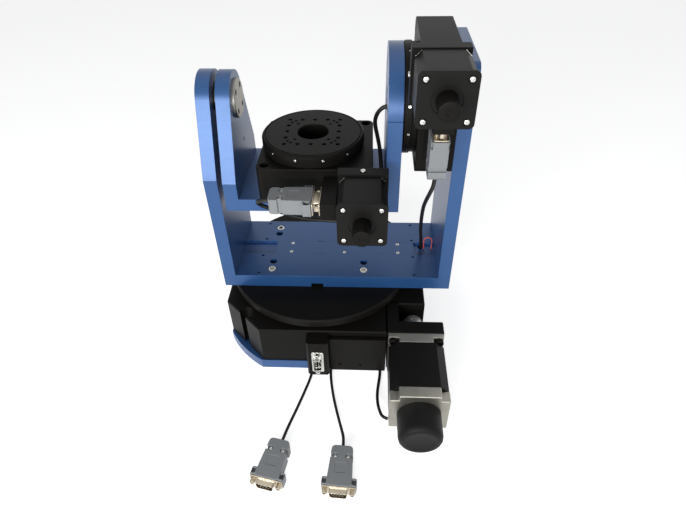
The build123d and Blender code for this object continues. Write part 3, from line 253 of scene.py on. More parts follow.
grey_hood = moulded(
    "grey_hood",
    tone(0.47, 0.485, 0.495),
    tone(0.52, 0.53, 0.54),
    roughness=0.45,
    grain_size=0.5,
    specular=0.4,
    edge=0.5,
)
knob_grey = moulded(
    "knob_grey",
    tone(0.075, 0.075, 0.075),
    tone(0.11, 0.11, 0.11),
    roughness=0.5,
    grain_size=0.5,
    specular=0.1,
)
lead_black = moulded("lead_black", tone(0.07, 0.07, 0.07), tone(0.11, 0.11, 0.11), 0.42, 0.8)
red_skin = moulded("red_insulation", tone(0.72, 0.24, 0.26), tone(0.86, 0.42, 0.42), 0.35, 0.6)
pin_black = moulded("insert_black", tone(0.06, 0.06, 0.06), tone(0.09, 0.09, 0.09), 0.5, 0.4)
slot_finish = {
    "blue_anodised": blue,
    "black_anodised": black,
    "motor_black": motor_black,
    "cast_silver": silver,
    "steel": steel,
    "grey_hood": grey_hood,
    "gold_shell": gold,
    "knob_grey": knob_grey,
    "lead_black": lead_black,
    "red_wire": red_skin,
    "bronze": bronze,
}
for part in frame["record"]["subparts"]:
    surfaces = nodes[part["node"]].data.materials
    surfaces.clear()
    surfaces.append(slot_finish[part["material_slot"]])
# painted shade: the bearing of the left pivot, in the gap between upright and arm, is given the
# black finish, so it reads dark around its bright shaft
nodes["pivot_bearing"].data.materials[0] = black


# ---------------------------------------------------------------- modelling helpers


def clear():
    """Deselects everything, so that the next primitive stands alone."""
    for other in bpy.context.selected_objects:
        other.select_set(False)


def only(piece):
    """Makes that piece the one selected and active object."""
    clear()
    piece.select_set(True)
    bpy.context.view_layer.objects.active = piece


def edit(select="SELECT"):
    """Goes into edit mode with all or nothing selected."""
    bpy.ops.object.mode_set(mode="EDIT")
    bpy.ops.mesh.select_all(action=select)


def object_mode():
    bpy.ops.object.mode_set(mode="OBJECT")


def turned(name, profile, steps=96):
    """A piece turned about Z: its (radius, height) profile starts and ends at the same point,
    or its first and last rings are closed with a flat face."""
    clear()
    radius, height = profile[0]
    bpy.ops.mesh.primitive_circle_add(vertices=steps, radius=radius, location=(0, 0, height))
    piece = bpy.context.object
    piece.name = name
    bpy.ops.object.transform_apply()
    edit()
    for next_radius, next_height in profile[1:]:
        ratio = next_radius / radius
        bpy.ops.mesh.extrude_region_move(
            TRANSFORM_OT_translate={"value": (0, 0, next_height - height)}
        )
        bpy.ops.transform.resize(value=(ratio, ratio, 1), center_override=(0, 0, next_height))
        radius, height = next_radius, next_height
    bpy.ops.mesh.select_all(action="SELECT")
    bpy.ops.mesh.remove_doubles(threshold=0.001)
    bpy.ops.mesh.fill_holes(sides=steps)
    bpy.ops.mesh.normals_make_consistent(inside=False)
    object_mode()
    return piece


def block(name, low, high):
    """A box between two corners, ready to be bevelled and drilled."""
    clear()
    middle = (Vector(low) + Vector(high)) / 2
    bpy.ops.mesh.primitive_cube_add(size=1, location=middle)
    piece = bpy.context.object
    piece.name = name
    piece.scale = Vector(high) - Vector(low)
    bpy.ops.object.transform_apply()
    return piece


def bevelled(piece, width, segments=3, angle=35):
    """Rounds every edge that is sharper than that angle."""
    only(piece)
    rounding = piece.modifiers.new("edges", "BEVEL")
    rounding.width = width
    rounding.segments = segments
    rounding.limit_method = "ANGLE"
    rounding.angle_limit = math.radians(angle)
    bpy.ops.object.modifier_apply(modifier=rounding.name)
    return piece


def bevel_along(piece, axis, width, segments=4, above=-math.inf):
    """Rounds or chamfers the straight edges along one axis, or only those above a height."""
    only(piece)
    edit("DESELECT")
    bpy.ops.mesh.select_mode(type="EDGE")
    object_mode()
    mesh = piece.data
    for edge in mesh.edges:
        start, end = (mesh.vertices[number].co for number in edge.vertices)
        run = end - start
        edge.select = abs(run[axis]) > 0.999 * run.length and start.z > above
    bpy.ops.object.mode_set(mode="EDIT")
    bpy.ops.mesh.bevel(offset=width, segments=segments, affect="EDGES")
    object_mode()
    return piece


def moved(x, y, z):
    """A shift in millimetres, for pieces that are still in millimetres."""
    return Matrix.Translation((x, y, z))


def shift(x, y, z):
    """A place in millimetres, as the matrix in metres that set_down() takes."""
    return Matrix.Translation((x * MM, y * MM, z * MM))


def turn_about(axis, degrees):
    return Matrix.Rotation(math.radians(degrees), 4, axis)


def turn_to(axis):
    """Rotation that takes +Z to that axis."""
    return Vector(UP).rotation_difference(Vector(axis)).to_matrix().to_4x4()


def facing(position, axis):
    """Matrix that stands a screw on that point with its head along axis."""
    return Matrix.Translation(position) @ turn_to(axis)


def cutter(centre, axis, radius, depth, sides=32):
    """A cylinder that starts at centre and reaches that deep against axis, for cutting holes.
    It stands out of the surface by 1 mm."""
    clear()
    bpy.ops.mesh.primitive_cylinder_add(vertices=sides, radius=radius, depth=depth + 1)
    tool = bpy.context.object
    tool.data.transform(facing(centre, axis) @ moved(0, 0, (1 - depth) / 2))
    return tool


def joined(name, pieces):
    """Several pieces as one object."""
    clear()
    for piece in pieces:
        piece.select_set(True)
    bpy.context.view_layer.objects.active = pieces[0]
    if len(pieces) > 1:
        bpy.ops.object.join()
    pieces[0].name = name
    return pieces[0]


def cut(piece, tools, operation="DIFFERENCE"):
    """Takes the tools' volume out of a piece, or adds it."""
    for tool in tools:
        only(piece)
        change = piece.modifiers.new("cut", "BOOLEAN")
        change.operation = operation
        change.solver = "EXACT"
        change.object = tool
        bpy.ops.object.modifier_apply(modifier=change.name)
    for tool in tools:
        bpy.data.objects.remove(tool)
    return piece


def copies(model, places):
    """Copies of a model at those places, each with its own mesh. The model itself goes."""
    twins = []
    for place in places:
        twin = model.copy()
        twin.data = model.data.copy()
        twin.data.transform(place)
        bpy.context.scene.collection.objects.link(twin)
        twins.append(twin)
    bpy.data.objects.remove(model)
    return twins


def grid(xs, ys):
    """Every pair of a first and a second number."""
    return [(x, y) for x in xs for y in ys]


def on_ring(radius, degrees):
    """Point on a circle about the origin."""
    angle = math.radians(degrees)
    return radius * math.cos(angle), radius * math.sin(angle)


def set_down(piece, body, finish, place=Matrix.Identity(4), instead_of=()):
    """Puts a finished piece into the model's frame, gives it its finish and its body."""
    only(piece)
    piece.data.transform(place @ Matrix.Scale(MM, 4))
    piece.data.materials.clear()
    piece.data.materials.append(finish)
    bpy.ops.object.shade_smooth_by_angle(angle=SMOOTH_ANGLE)
    flats = piece.modifiers.new("flats", "WEIGHTED_NORMAL")
    flats.keep_sharp = True
    bpy.ops.object.modifier_apply(modifier=flats.name)
    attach(piece, body)
    if instead_of:
        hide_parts(*instead_of)
    return piece


def millimetres(node):
    """Lowest and highest corner of a CAD node, in millimetres."""
    low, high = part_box(node)
    return [c / MM for c in low], [c / MM for c in high]


def middle_of(low, high):
    return [(a + b) / 2 for a, b in zip(low, high)]


# ---------------------------------------------------------------- shared places

TILT_AXIS = middle_of(*millimetres("tilt_table"))[Z]  # height of the axis of the inner cradle
SCREW_SEAT = 5  # depth of the counterbores
FOOT_SCREWS = [(y, 82.5) for y in (-35, 35)]  # (y, z), uprights on the outer plate
FLOOR_SCREWS = [(y, 182.5) for y in (-36, 36)]  # (y, z), arms on the inner floor plate
STAGE_BOLTS = grid((-42.5, 30), (-42.5, 42.5))  # of a 100 mm stage, from the table's axis


# ---------------------------------------------------------------- screws


def cap_screw(head_radius, head_height, socket):
    """Socket head cap screw standing on z = 0, head up: a bevelled head with a hexagon socket."""
    rim = head_radius * 0.12
    head = turned(
        "head",
        [
            (head_radius - rim * 0.5, 0),
            (head_radius, rim * 0.5),
            (head_radius, head_height - rim),
            (head_radius - rim, head_height),
            (socket * 0.75, head_height),
        ],
        32,
    )
    hexagon = cutter((0, 0, head_height), UP, socket / math.sqrt(3), head_height * 0.55, 6)
    return cut(head, [hexagon])


def side_screw():
    """The cap screw that holds uprights, arms, stages and the big motor."""
    return cap_screw(4.25, 4.7, 4)


def pan_screw(head_radius, head_height):
    """Low domed screw with a cross recess, standing on z = 0."""
    head = turned(
        "head",
        [
            (head_radius, 0),
            (head_radius, head_height * 0.35),
            (head_radius * 0.86, head_height * 0.75),
            (head_radius * 0.5, head_height * 0.97),
            (head_radius * 0.2, head_height),
        ],
        28,
    )
    half_width = head_radius * 0.12
    reach = head_radius * 0.6
    low = head_height * 0.35
    top = head_height + 1
    bars = [
        block("bar", (-reach, -half_width, low), (reach, half_width, top)),
        block("bar", (-half_width, -reach, low), (half_width, reach, top)),
    ]
    return cut(head, bars)


# ---------------------------------------------------------------- base


def base_turntable():
    """The big turntable: a bevelled rim over a narrower skirt, with its hub and bore."""
    low, high = millimetres("base_table")
    bottom, top = low[Z], high[Z]
    edge = high[X]
    bore = 20
    hub = 52
    skirt = edge - 9
    skirt_bottom = 60.3
    rim_bottom = top - 9
    profile = [
        (bore, bottom),
        (hub, bottom),
        (hub, skirt_bottom),
        (skirt, skirt_bottom),
        (skirt, rim_bottom),
        (edge - 0.4, rim_bottom),
        (edge, rim_bottom + 0.4),
        (edge, top - 1.8),
        (edge - 0.25, top - 1.1),
        (edge - 1.6, top),
        (bore + 0.6, top),
        (bore, top - 0.6),
        (bore, bottom),
    ]
    table = turned("turntable", profile, 160)
    set_down(table, "yaw", black, instead_of=["base_table"])


def base_motor_coupling():
    """Clamp coupling with two hubs, a waist between them, slits and its clamp screws' holes."""
    low, high = millimetres("base_coupling")
    radius = (high[X] - low[X]) / 2
    length = high[Y] - low[Y]
    half = length / 2
    bore = 5.2
    chamfer = 0.7
    waist = radius - 1.2
    coupling = turned(
        "coupling",
        [
            (bore, 0),
            (radius - chamfer, 0),
            (radius, chamfer),
            (radius, half - 2.2),
            (waist, half - 2.2),
            (waist, half + 2.2),
            (radius, half + 2.2),
            (radius, length - chamfer),
            (radius - chamfer, length),
            (bore, length),
            (bore, 0),
        ],
        72,
    )
    tools = [
        block("slit", (-radius - 1, -0.5, -1), (0, 0.5, half - 2.6)),
        block("slit", (-radius - 1, -0.5, half + 2.6), (0, 0.5, length + 1)),
    ]
    for height in (4.8, length - 4.8):
        tools.append(cutter((0, radius, height), BACK, 2.2, 3.5, 24))
    cut(coupling, tools)
    x, _, z = middle_of(low, high)
    place = shift(x, high[Y], z) @ turn_about("X", 90)
    set_down(coupling, "base_drive", turned_alloy, place, ["base_coupling"])


def motor_end_caps():
    """End caps of the 57 mm motor: thin ears at the front, stepped corners at the rear."""
    low, high = millimetres("motor_caps")
    cap = 12
    pilot_height = 1.6
    face = high[Y] - pilot_height
    corners = grid((low[X], high[X]), (low[Z], high[Z]))
    front = block("front_cap", (low[X], face - cap, low[Z]), (high[X], face, high[Z]))
    cap_back, ear_back = face - cap - 1, face - 6
    ears = [
        block("ear", (x - 11, cap_back, z - 11), (x + 11, ear_back, z + 11)) for x, z in corners
    ]
    cut(front, [joined("ears", ears)])
    rear = block("rear_cap", low, (high[X], low[Y] + cap, high[Z]))
    step_start, step_end = low[Y] - 1, low[Y] + cap + 1
    steps = [
        block("step", (x - 8.5, step_start, z - 6.5), (x + 8.5, step_end, z + 6.5))
        for x, z in corners
    ]
    cut(rear, [joined("steps", steps)])
    ring = [(3.4, 0), (19, 0), (19, pilot_height), (3.4, pilot_height), (3.4, 0)]
    pilot = turned("pilot", ring)
    x, _, z = middle_of(low, high)
    pilot.data.transform(moved(x, face, z) @ turn_about("X", -90))
    pieces = [bevelled(front, 0.5, 2), bevelled(rear, 1.1, 3), pilot]
    caps = joined("motor_end_caps", pieces)
    set_down(caps, "base", silver, instead_of=["motor_caps"])


def right_upright():
    """Right upright: upper corners rounded, square foot, bore and counterbored screw holes."""
    low, high = millimetres("outer_right_upright")
    outside = high[X]
    plate = bevel_along(block("right_upright", low, high), X, 8, 10, above=low[Z] + 1)
    tools = [cutter((outside, 0, TILT_AXIS), RIGHT, 15, 14, 64)]
    spots = FOOT_SCREWS + [(y, TILT_AXIS + z) for z, y in STAGE_BOLTS]
    for y, z in spots:
        tools.append(cutter((outside, y, z), RIGHT, 4.55, SCREW_SEAT, 24))
    cut(plate, [joined("holes", tools)])
    bevelled(plate, 0.3, 2, 60)
    set_down(plate, "yaw", blue, instead_of=["outer_right_upright"])


def big_knob():
    """Dark moulded hand knob with a dished end, and the motor's rear shaft in it."""
    low, high = millimetres("base_knob")
    radius = (high[X] - low[X]) / 2
    shaft_length = 104
    end = high[Y] - low[Y] - shaft_length
    profile = [
        (3.2, 0),
        (radius - 1, 0),
        (radius, 1),
        (radius, end - 6),
        (radius - 0.6, end - 3.2),
        (radius - 2.2, end - 1.1),
        (radius - 4.6, end),
        (radius - 7, end - 0.1),
        (radius - 8, end - 0.7),
        (4, end - 1.2),
        (0.5, end - 1.2),
    ]
    knob = turned("big_knob", profile, 96)
    x, _, z = middle_of(low, high)
    face = low[Y] + end
    lying = turn_about("X", 90)
    place = shift(x, face, z) @ lying
    set_down(knob, "base_drive", knob_grey, place, ["base_knob"])
    shaft = turned("rear_shaft", [(0.3, 0), (3.1, 0), (3.1, shaft_length), (0.3, shaft_length)], 32)
    set_down(shaft, "base_drive", steel, shift(x, face + shaft_length, z) @ lying)


# ---------------------------------------------------------------- connectors

JACK_OFFSET = 12.5  # jack screws, either side of the middle
CONTACT_PITCH = 2.76
CONTACT_ROW = 1.4  # rows of contacts, either side of the middle
HOOD_LENGTH = 39
HOOD_HALF_WIDTH = 10
HOOD_HALF_DEPTH = 7.5


def d_shape(name, length, height, depth, taper=1.2):
    """D-shaped shell or insert, its long side along X, standing from z = 0 to depth."""
    shape = block(name, (-length / 2, -height / 2, 0), (length / 2, height / 2, depth))
    for corner in shape.data.vertices:
        if corner.co.y < 0:
            corner.co.x -= math.copysign(taper, corner.co.x)
    return bevel_along(shape, Z, height * 0.24, 4)


def pressed_flange():
    """Thin flange of a nine-pin connector, from z = 0 up."""
    flange = bevel_along(block("flange", (-15.4, -6.25, 0), (15.4, 6.25, 1.1)), Z, 1.6, 4)
    return bevelled(flange, 0.25, 2)


def connector(name, body, place, metal, instead_of, male=False):
    """Nine-pin connector: pressed flange, D-shaped shell, black insert, contacts, jack screws.
    Local frame: long side along X, mating face towards +Z, back at z = 0."""
    flange = pressed_flange()
    shell = d_shape("shell", 17.2, 8.6, 6.2)
    inner = d_shape("hollow", 16.2, 7.6, 9)
    inner.data.transform(moved(0, 0, 1.6))
    cut(shell, [inner])
    collar = d_shape("collar", 19.6, 10.8, 1.8)
    pieces = [flange, bevelled(shell, 0.18, 2, 50), bevelled(collar, 0.5, 3, 50)]
    nut = turned("nut", [(1.2, 1), (2.6, 1), (2.6, 4.6), (2.3, 5), (1.2, 5), (1.2, 1)], 6)
    pieces += copies(nut, [moved(side * JACK_OFFSET, 0, 0) for side in (-1, 1)])
    contacts = [(CONTACT_PITCH * (i - 2), CONTACT_ROW) for i in range(5)]
    contacts += [(CONTACT_PITCH * (i - 1.5), -CONTACT_ROW) for i in range(4)]
    if male:
        pin = turned("pin", [(0.1, 5.6), (0.5, 5.2), (0.5, 1), (0.1, 1)], 10)
        insert_depth = 1.8
    else:
        ring = [(0.75, 5.1), (0.75, 5.35), (0.45, 5.35), (0.45, 5.1), (0.75, 5.1)]
        pin = turned("pin", ring, 12)
        insert_depth = 5.2
    pieces += copies(pin, [moved(x, y, 0) for x, y in contacts])
    shells = set_down(joined(name, pieces), body, metal, place, instead_of)
    insert = bevelled(d_shape(name + "_insert", 15.9, 7.3, insert_depth), 0.2, 2, 50)
    return [shells, set_down(insert, body, pin_black, place)]


def hood_shell(name, body, place, instead_of):
    """Grey hood of a nine-pin plug: notched grips, ears, a shallow label field, and its cross
    and thumb screws. Local frame: mating face at x = 0, cable towards -X, wide side along Y."""
    low = (-HOOD_LENGTH, -HOOD_HALF_WIDTH, -HOOD_HALF_DEPTH)
    shape = block("hood", low, (0, HOOD_HALF_WIDTH, HOOD_HALF_DEPTH))
    for corner in shape.data.vertices:
        if corner.co.x > -1:
            corner.co.y *= 1.15
    bevel_along(shape, Z, 3.6, 5)
    ears = bevel_along(block("ears", (-8, -16, -7.2), (-0.4, 16, 7.2)), X, 2.2, 4)
    cut(shape, [bevelled(ears, 0.5, 2)], "UNION")
    screw_x, screw_y = -28.5, 6
    tools = []
    for side in (-1, 1):
        grip = side * 10.2
        slot = side * 13.6
        tools.append(block("clip", (-30.5, grip - 1.5, -9), (-26.5, grip + 1.5, 9)))
        tools.append(block("ear_slot", (-6.8, slot - 1.9, -9), (-1.8, slot + 1.9, -3.4)))
        tools.append(block("ear_slot", (-6.8, slot - 1.9, 3.4), (-1.8, slot + 1.9, 9)))
        tools.append(cutter((screw_x, side * screw_y, HOOD_HALF_DEPTH), UP, 2.4, 2.2, 24))
    tools.append(block("label_pan", (-22, -5, 7.3), (-12, 5, 9)))
    tools.append(block("parting", (-40, -17, -0.15), (-38.85, 17, 0.15)))
    cut(shape, tools)
    bevelled(shape, 0.45, 2, 40)
    hood = set_down(shape, body, grey_hood, place, instead_of)
    heads = [moved(screw_x, side * screw_y, 5.4) for side in (-1, 1)]
    pieces = copies(pan_screw(1.9, 1.3), heads)
    profile = [(0.2, 0), (1.5, 0), (1.7, 0.3), (1.7, 7.4), (1.2, 7.8), (0.2, 7.8)]
    thumb = turned("thumb", profile, 20)
    pieces += copies(thumb, [facing((-8.2, side * JACK_OFFSET, 0), RIGHT) for side in (-1, 1)])
    return [hood, set_down(joined(name + "_screws", pieces), body, steel, place)]


def on_stage(x, y, z, along, across):
    """Place in a stage's frame whose local +X runs along the first axis and +Y along the second."""
    first = Vector(along)
    second = Vector(across)
    turn = Matrix((first, second, first.cross(second))).transposed().to_4x4()
    return shift(x, y, z) @ turn


# ---------------------------------------------------------------- the 100 mm stages

TABLE_TOP = 46
TABLE_RADIUS = 49.5
PATTERN = 25  # half the side of the square of tapped holes
RIM_HOLES = [15 + 30 * number for number in range(12)]  # degrees
RIM_HOLE_HEIGHT = 40.9
HOUSING_HALF = 50
HOUSING_TOP = 33.5
WORM_X, WORM_Z = 49.5, 21.5  # axis of worm, motor and knob, which runs along Y
MOTOR_FACE = -76  # where the motor meets its bracket
MOTOR_HALF = 21
COVER_HALF = 21.15
COVER_FACE = -115.2  # where body and rear cover meet
COVER_END = COVER_FACE - 3
MOTOR_SCREWS = grid((-15.5, 15.5), (-15.5, 15.5))  # from the motor's axis
PLUG_Y, PLUG_Z = -78, 18.5  # axis of connector and plug, which runs along X
PLUG_FACE = 5.1


def table_holes():
    """The tapped holes in the small table: (x, y, radius)."""
    sides = grid((-PATTERN, PATTERN), (-12.5, 0, 12.5, PATTERN, -PATTERN))
    ends = grid((-12.5, 0, 12.5), (-PATTERN, PATTERN))
    corners = []
    for quarter in range(4):
        for radius, spread in ((22.4, 0), (PATTERN * math.sqrt(2), 0), (29.4, 4.8), (29.4, -4.8)):
            corners.append(on_ring(radius, 45 + 90 * quarter + spread))
    holes = []
    for x, y in sides + ends + corners:
        holes.append((x, y, 2.1 if PATTERN in (abs(x), abs(y)) else 1.6))
    return holes


def stage_table(tag, body, place):
    """Turntable: rim and step, fine groove, bore, tapped holes, set screws in the rim."""
    disc = turned(
        "disc",
        [
            (15, 12),
            (26, 12),
            (26, 33.8),
            (48.5, 33.8),
            (48.5, 38.3),
            (49.2, 38.5),
            (TABLE_RADIUS, 38.8),
            (TABLE_RADIUS, 44.2),
            (49.3, 44.6),
            (48.1, 45.8),
            (47.8, TABLE_TOP),
            (46.9, TABLE_TOP),
            (46.8, 44.8),
            (45.7, 44.8),
            (45.6, TABLE_TOP),
            (15.8, TABLE_TOP),
            (15, 45.2),
            (15, 12),
        ],
        144,
    )
    tools = [cutter((x, y, TABLE_TOP), UP, radius, 6, 16) for x, y, radius in table_holes()]
    for degrees in RIM_HOLES:
        x, y = on_ring(TABLE_RADIUS, degrees)
        tools.append(cutter((x, y, RIM_HOLE_HEIGHT), (x, y, 0), 1.7, 3, 16))
    cut(disc, [joined("tools", tools)])
    set_down(disc, body, black, place, [tag + "_table"])
    profile = [(0.2, 0), (1.55, 0), (1.55, 1.8), (1.3, 2), (0.9, 2), (0.7, 1), (0.2, 1)]
    plug = turned("set_screw", profile, 16)
    spots = [on_ring(46.9, degrees) for degrees in RIM_HOLES]
    plugs = copies(plug, [facing((x, y, RIM_HOLE_HEIGHT), (x, y, 0)) for x, y in spots])
    set_down(joined(tag + "_set_screws", plugs), body, steel, place)


def stage_housing(tag, body, place):
    """Black housing: rounded corners, bore, corner holes, motor bore and a fine seam."""
    low = (-HOUSING_HALF, -HOUSING_HALF, 0)
    shell = bevel_along(block("housing", low, (58, HOUSING_HALF, HOUSING_TOP)), Z, 6, 8)
    bevelled(shell, 0.8, 3, 60)
    bearing_bore = cutter((0, 0, 34), UP, 38.4, 34, 96)
    wheel_chamber = cutter((0, 0, 27), UP, 45.1, 28, 96)
    tools = [bearing_bore, wheel_chamber]
    for x, y in ((-42.5, -42.5), (-42.5, 42.5), (50.5, 42.5)):
        tools.append(cutter((x, y, HOUSING_TOP), UP, 4.6, 14, 32))
        tools.append(cutter((x, y, HOUSING_TOP), UP, 2.75, 34, 24))
    tools.append(cutter((WORM_X, -HOUSING_HALF, WORM_Z), FRONT, 5.6, 52, 40))
    tools.append(block("seam", (-34, -51, 26.2), (27, -49.6, 27)))
    cut(shell, tools)
    set_down(shell, body, black, place, [tag + "_housing"])


def square(name, half, back, front):
    """Square length of the motor, about its axis and between two places along it."""
    low = (WORM_X - half, back, WORM_Z - half)
    return block(name, low, (WORM_X + half, front, WORM_Z + half))


def stage_motor(tag, body, place):
    """Motor: black body with chamfers and bright corner glints, rear cover, four screws."""
    stack = bevel_along(square("stack", MOTOR_HALF, COVER_FACE, MOTOR_FACE), Y, 5.5, 1)
    bevelled(stack, 0.3, 2, 30)
    set_down(stack, body, motor_black, place, [tag + "_motor"])
    cover = bevel_along(square("cover", COVER_HALF, COVER_END, COVER_FACE), Y, 4, 6)
    bevelled(cover, 0.4, 2, 40)
    tools = [cutter((WORM_X, COVER_END, WORM_Z), FRONT, 11.2, 0.7, 64)]
    for dx, dz in MOTOR_SCREWS:
        tools.append(cutter((WORM_X + dx, COVER_END, WORM_Z + dz), FRONT, 3.1, 0.8, 32))
    cut(cover, [joined("tools", tools)])
    set_down(cover, body, motor_black, place, [tag + "_motor_cover"])
    seat = COVER_END + 0.7
    spots = [facing((WORM_X + dx, seat, WORM_Z + dz), FRONT) for dx, dz in MOTOR_SCREWS]
    heads = copies(pan_screw(2.2, 1.5), spots)
    set_down(joined(tag + "_motor_screws", heads), body, steel, place)
    glints = []
    reach = MOTOR_HALF - 2.9
    for side_x, side_z in grid((-1, 1), (-1, 1)):
        glint = block("glint", (-3.4, -1.2, -0.6), (3.4, 0, 0.3))
        corner = moved(WORM_X + side_x * reach, MOTOR_FACE, WORM_Z + side_z * reach)
        glint.data.transform(corner @ turn_about("Y", 45 * side_x * side_z))
        glints.append(bevelled(glint, 0.25, 2))
    set_down(joined(tag + "_motor_glints", glints), body, steel, place)


def stage_knob(tag, place):
    """Small black knob with a shallow dish, and the shaft through the motor."""
    profile = [(2.5, 0), (7.4, 0), (8, 0.6), (8, 16.6), (7.6, 17.6), (6.6, 18)]
    profile += [(2.6, 18), (2.2, 17.5), (0.3, 17.5)]
    knob = turned(tag + "_hand_knob", profile, 64)
    lying = turn_about("X", 90)
    knob_place = place @ shift(WORM_X, COVER_END - 0.3, WORM_Z) @ lying
    set_down(knob, tag + "_drive", black, knob_place, [tag + "_knob"])
    shaft = turned(tag + "_rear_shaft", [(0.3, 0), (2.5, 0), (2.5, 42.5), (0.3, 42.5)], 32)
    shaft_place = place @ shift(WORM_X, MOTOR_FACE, WORM_Z) @ lying
    set_down(shaft, tag + "_drive", steel, shaft_place)


def stage_bracket(tag, body, place):
    """Adapter plate with side wall and floor, its edges softened, and its top screw."""
    plate = block("bracket", (27.5, MOTOR_FACE, 0.5), (71.5, -64.5, 44.5))
    wall = block("wall", (27.5, -65, 0.5), (38.5, -HOUSING_HALF, 33))
    floor = block("floor", (27.5, -65, 0.5), (58, -HOUSING_HALF, 11.5))
    cut(plate, [wall, floor], "UNION")
    bevelled(plate, 0.6, 2, 50)
    cut(plate, [cutter((WORM_X, MOTOR_FACE - 0.5, WORM_Z), FRONT, 11.1, 13, 48)])
    clamp = cap_screw(2.3, 1.3, 2)
    clamp.data.transform(moved(WORM_X, -70.3, 44.5))
    clamp.name = tag + "_bracket_screw"
    set_down(clamp, body, steel, place)
    set_down(plate, body, black, place, [tag + "_bracket"])


def connector_block(tag, body, place):
    """Block that carries the connector, with its edges softened."""
    shape = block("block", (12.5, -96, 10.5), (27.2, -HOUSING_HALF, 26.5))
    bevelled(shape, 0.8, 3)
    set_down(shape, body, black, place, [tag + "_connector_block"])


def plug_flange(tag, body, place):
    """Flange and skirt of the plug that is pushed into the stage's connector."""
    flange = pressed_flange()
    skirt = bevelled(d_shape("skirt", 18.8, 10, 4.4), 0.3, 2, 50)
    plug = joined(tag + "_plug_flange", [flange, skirt])
    set_down(plug, body, gold, place)


def small_stage(tag, body, top_body, place):
    """All the pieces of a 100 mm stage, in its own frame: table up, motor towards -Y."""
    stage_table(tag, top_body, place)
    stage_housing(tag, body, place)
    stage_bracket(tag, body, place)
    stage_motor(tag, body, place)
    stage_knob(tag, place)
    connector_block(tag, body, place)
    socket = place @ on_stage(12.5, PLUG_Y, PLUG_Z, FRONT, UP)
    connector(tag + "_socket", body, socket, gold, [tag + "_connector"])
    hood = place @ on_stage(PLUG_FACE, PLUG_Y, PLUG_Z, RIGHT, BACK)
    hood_shell(tag + "_hood", body, hood, [tag + "_plug"])
    plug_flange(tag, body, place @ on_stage(PLUG_FACE, PLUG_Y, PLUG_Z, BACK, UP))


base_turntable()
base_motor_coupling()
motor_end_caps()
right_upright()
big_knob()

top_x, top_y, _ = middle_of(*millimetres("top_table"))
top_place = shift(top_x, top_y, millimetres("top_housing")[0][Z])
tilt_y = middle_of(*millimetres("tilt_table"))[Y]
tilt_place = shift(millimetres("tilt_housing")[1][X], tilt_y, TILT_AXIS) @ turn_about("Y", -90)
small_stage("top", "tilt", "top", top_place)
small_stage("tilt", "yaw", "tilt", tilt_place)


# ---------------------------------------------------------------- screws of the cradles and base


def cradle_fasteners():
    """Screws of the outer cradle: plate on the table, small ones in rows, both uprights, and
    the tilt stage on the right one."""
    plate_top = millimetres("cradle_plate")[1][Z]
    left = millimetres("outer_left_upright")[0][X] + SCREW_SEAT
    right = millimetres("outer_right_upright")[1][X] - SCREW_SEAT
    large = grid((-50, 50), (-37, 37))
    small = grid((-32, 28, 88), (-7.5, 7.5))
    places = [facing((x, y, plate_top - SCREW_SEAT), UP) for x, y in large]
    pieces = copies(cap_screw(4.5, 4.7, 5), places)
    places = [facing((x, y, plate_top - 1.6), UP) for x, y in small]
    pieces += copies(cap_screw(2.1, 1.5, 1.9), places)
    places = []
    for y, z in FOOT_SCREWS:
        places += [facing((left, y, z), LEFT), facing((right, y, z), RIGHT)]
    places += [facing((right, y, TILT_AXIS + dz), RIGHT) for dz, y in STAGE_BOLTS]
    pieces += copies(side_screw(), places)
    group = joined("cradle_fasteners", pieces)
    set_down(group, "yaw", steel, instead_of=["cradle_screws"])


def pivot_screws():
    """Four dark screws in the flange of the left pivot."""
    face = millimetres("pivot_flange")[1][X]
    ring = [on_ring(13, 45 + 90 * quarter) for quarter in range(4)]
    places = [facing((face - 2.4, y, TILT_AXIS + z), RIGHT) for y, z in ring]
    group = joined("pivot_screws", copies(cap_screw(2.7, 2.3, 2.5), places))
    set_down(group, "tilt", black)


def inner_fasteners():
    """Screws of the inner cradle: right arm on the tilt table, both arms on the floor plate,
    and the top stage from below."""
    right_low, right_high = millimetres("inner_right_arm")
    left = millimetres("inner_left_arm")[0][X] + SCREW_SEAT
    right = right_high[X] - SCREW_SEAT
    bottom = millimetres("inner_floor")[0][Z] + SCREW_SEAT
    places = []
    for y, z in grid((-25, 25), (-25, 25)):
        spot = facing((right_low[X] + 4.5, y, TILT_AXIS + z), LEFT)
        places.append(spot @ Matrix.Scale(0.8, 4))
    for y, z in FLOOR_SCREWS:
        places += [facing((left, y, z), LEFT), facing((right, y, z), RIGHT)]
    places += [facing((x, y, bottom), DOWN) for x, y in STAGE_BOLTS]
    group = joined("inner_fasteners", copies(side_screw(), places))
    set_down(group, "tilt", steel, instead_of=["inner_screws"])


def base_fasteners():
    """Dark screws of the base plate, the worm's cover and the big motor's flange."""
    plate_top = millimetres("base_plate")[1][Z]
    cover_face = millimetres("worm_cover")[0][Y]
    motor_x, motor_flange, motor_z = 105, -106, 32
    motor_screw = 23.57  # from the motor's axis, across and up
    plate_corners = ((-75, -75), (-75, 75), (75, 75))
    places = [facing((x, y, plate_top), UP) for x, y in plate_corners]
    for dx, dz in grid((-motor_screw, motor_screw), (-motor_screw, motor_screw)):
        places.append(facing((motor_x + dx, motor_flange, motor_z + dz), FRONT))
    pieces = copies(side_screw(), places)
    places = [facing((x, cover_face + 2.6, 14.5), FRONT) for x in (26, 48)]
    pieces += copies(cap_screw(1.9, 2.2, 2), places)
    group = joined("base_fasteners", pieces)
    set_down(group, "base", black, instead_of=["base_screws"])


cradle_fasteners()
pivot_screws()
inner_fasteners()
base_fasteners()


# ---------------------------------------------------------------- base connector and floor plugs


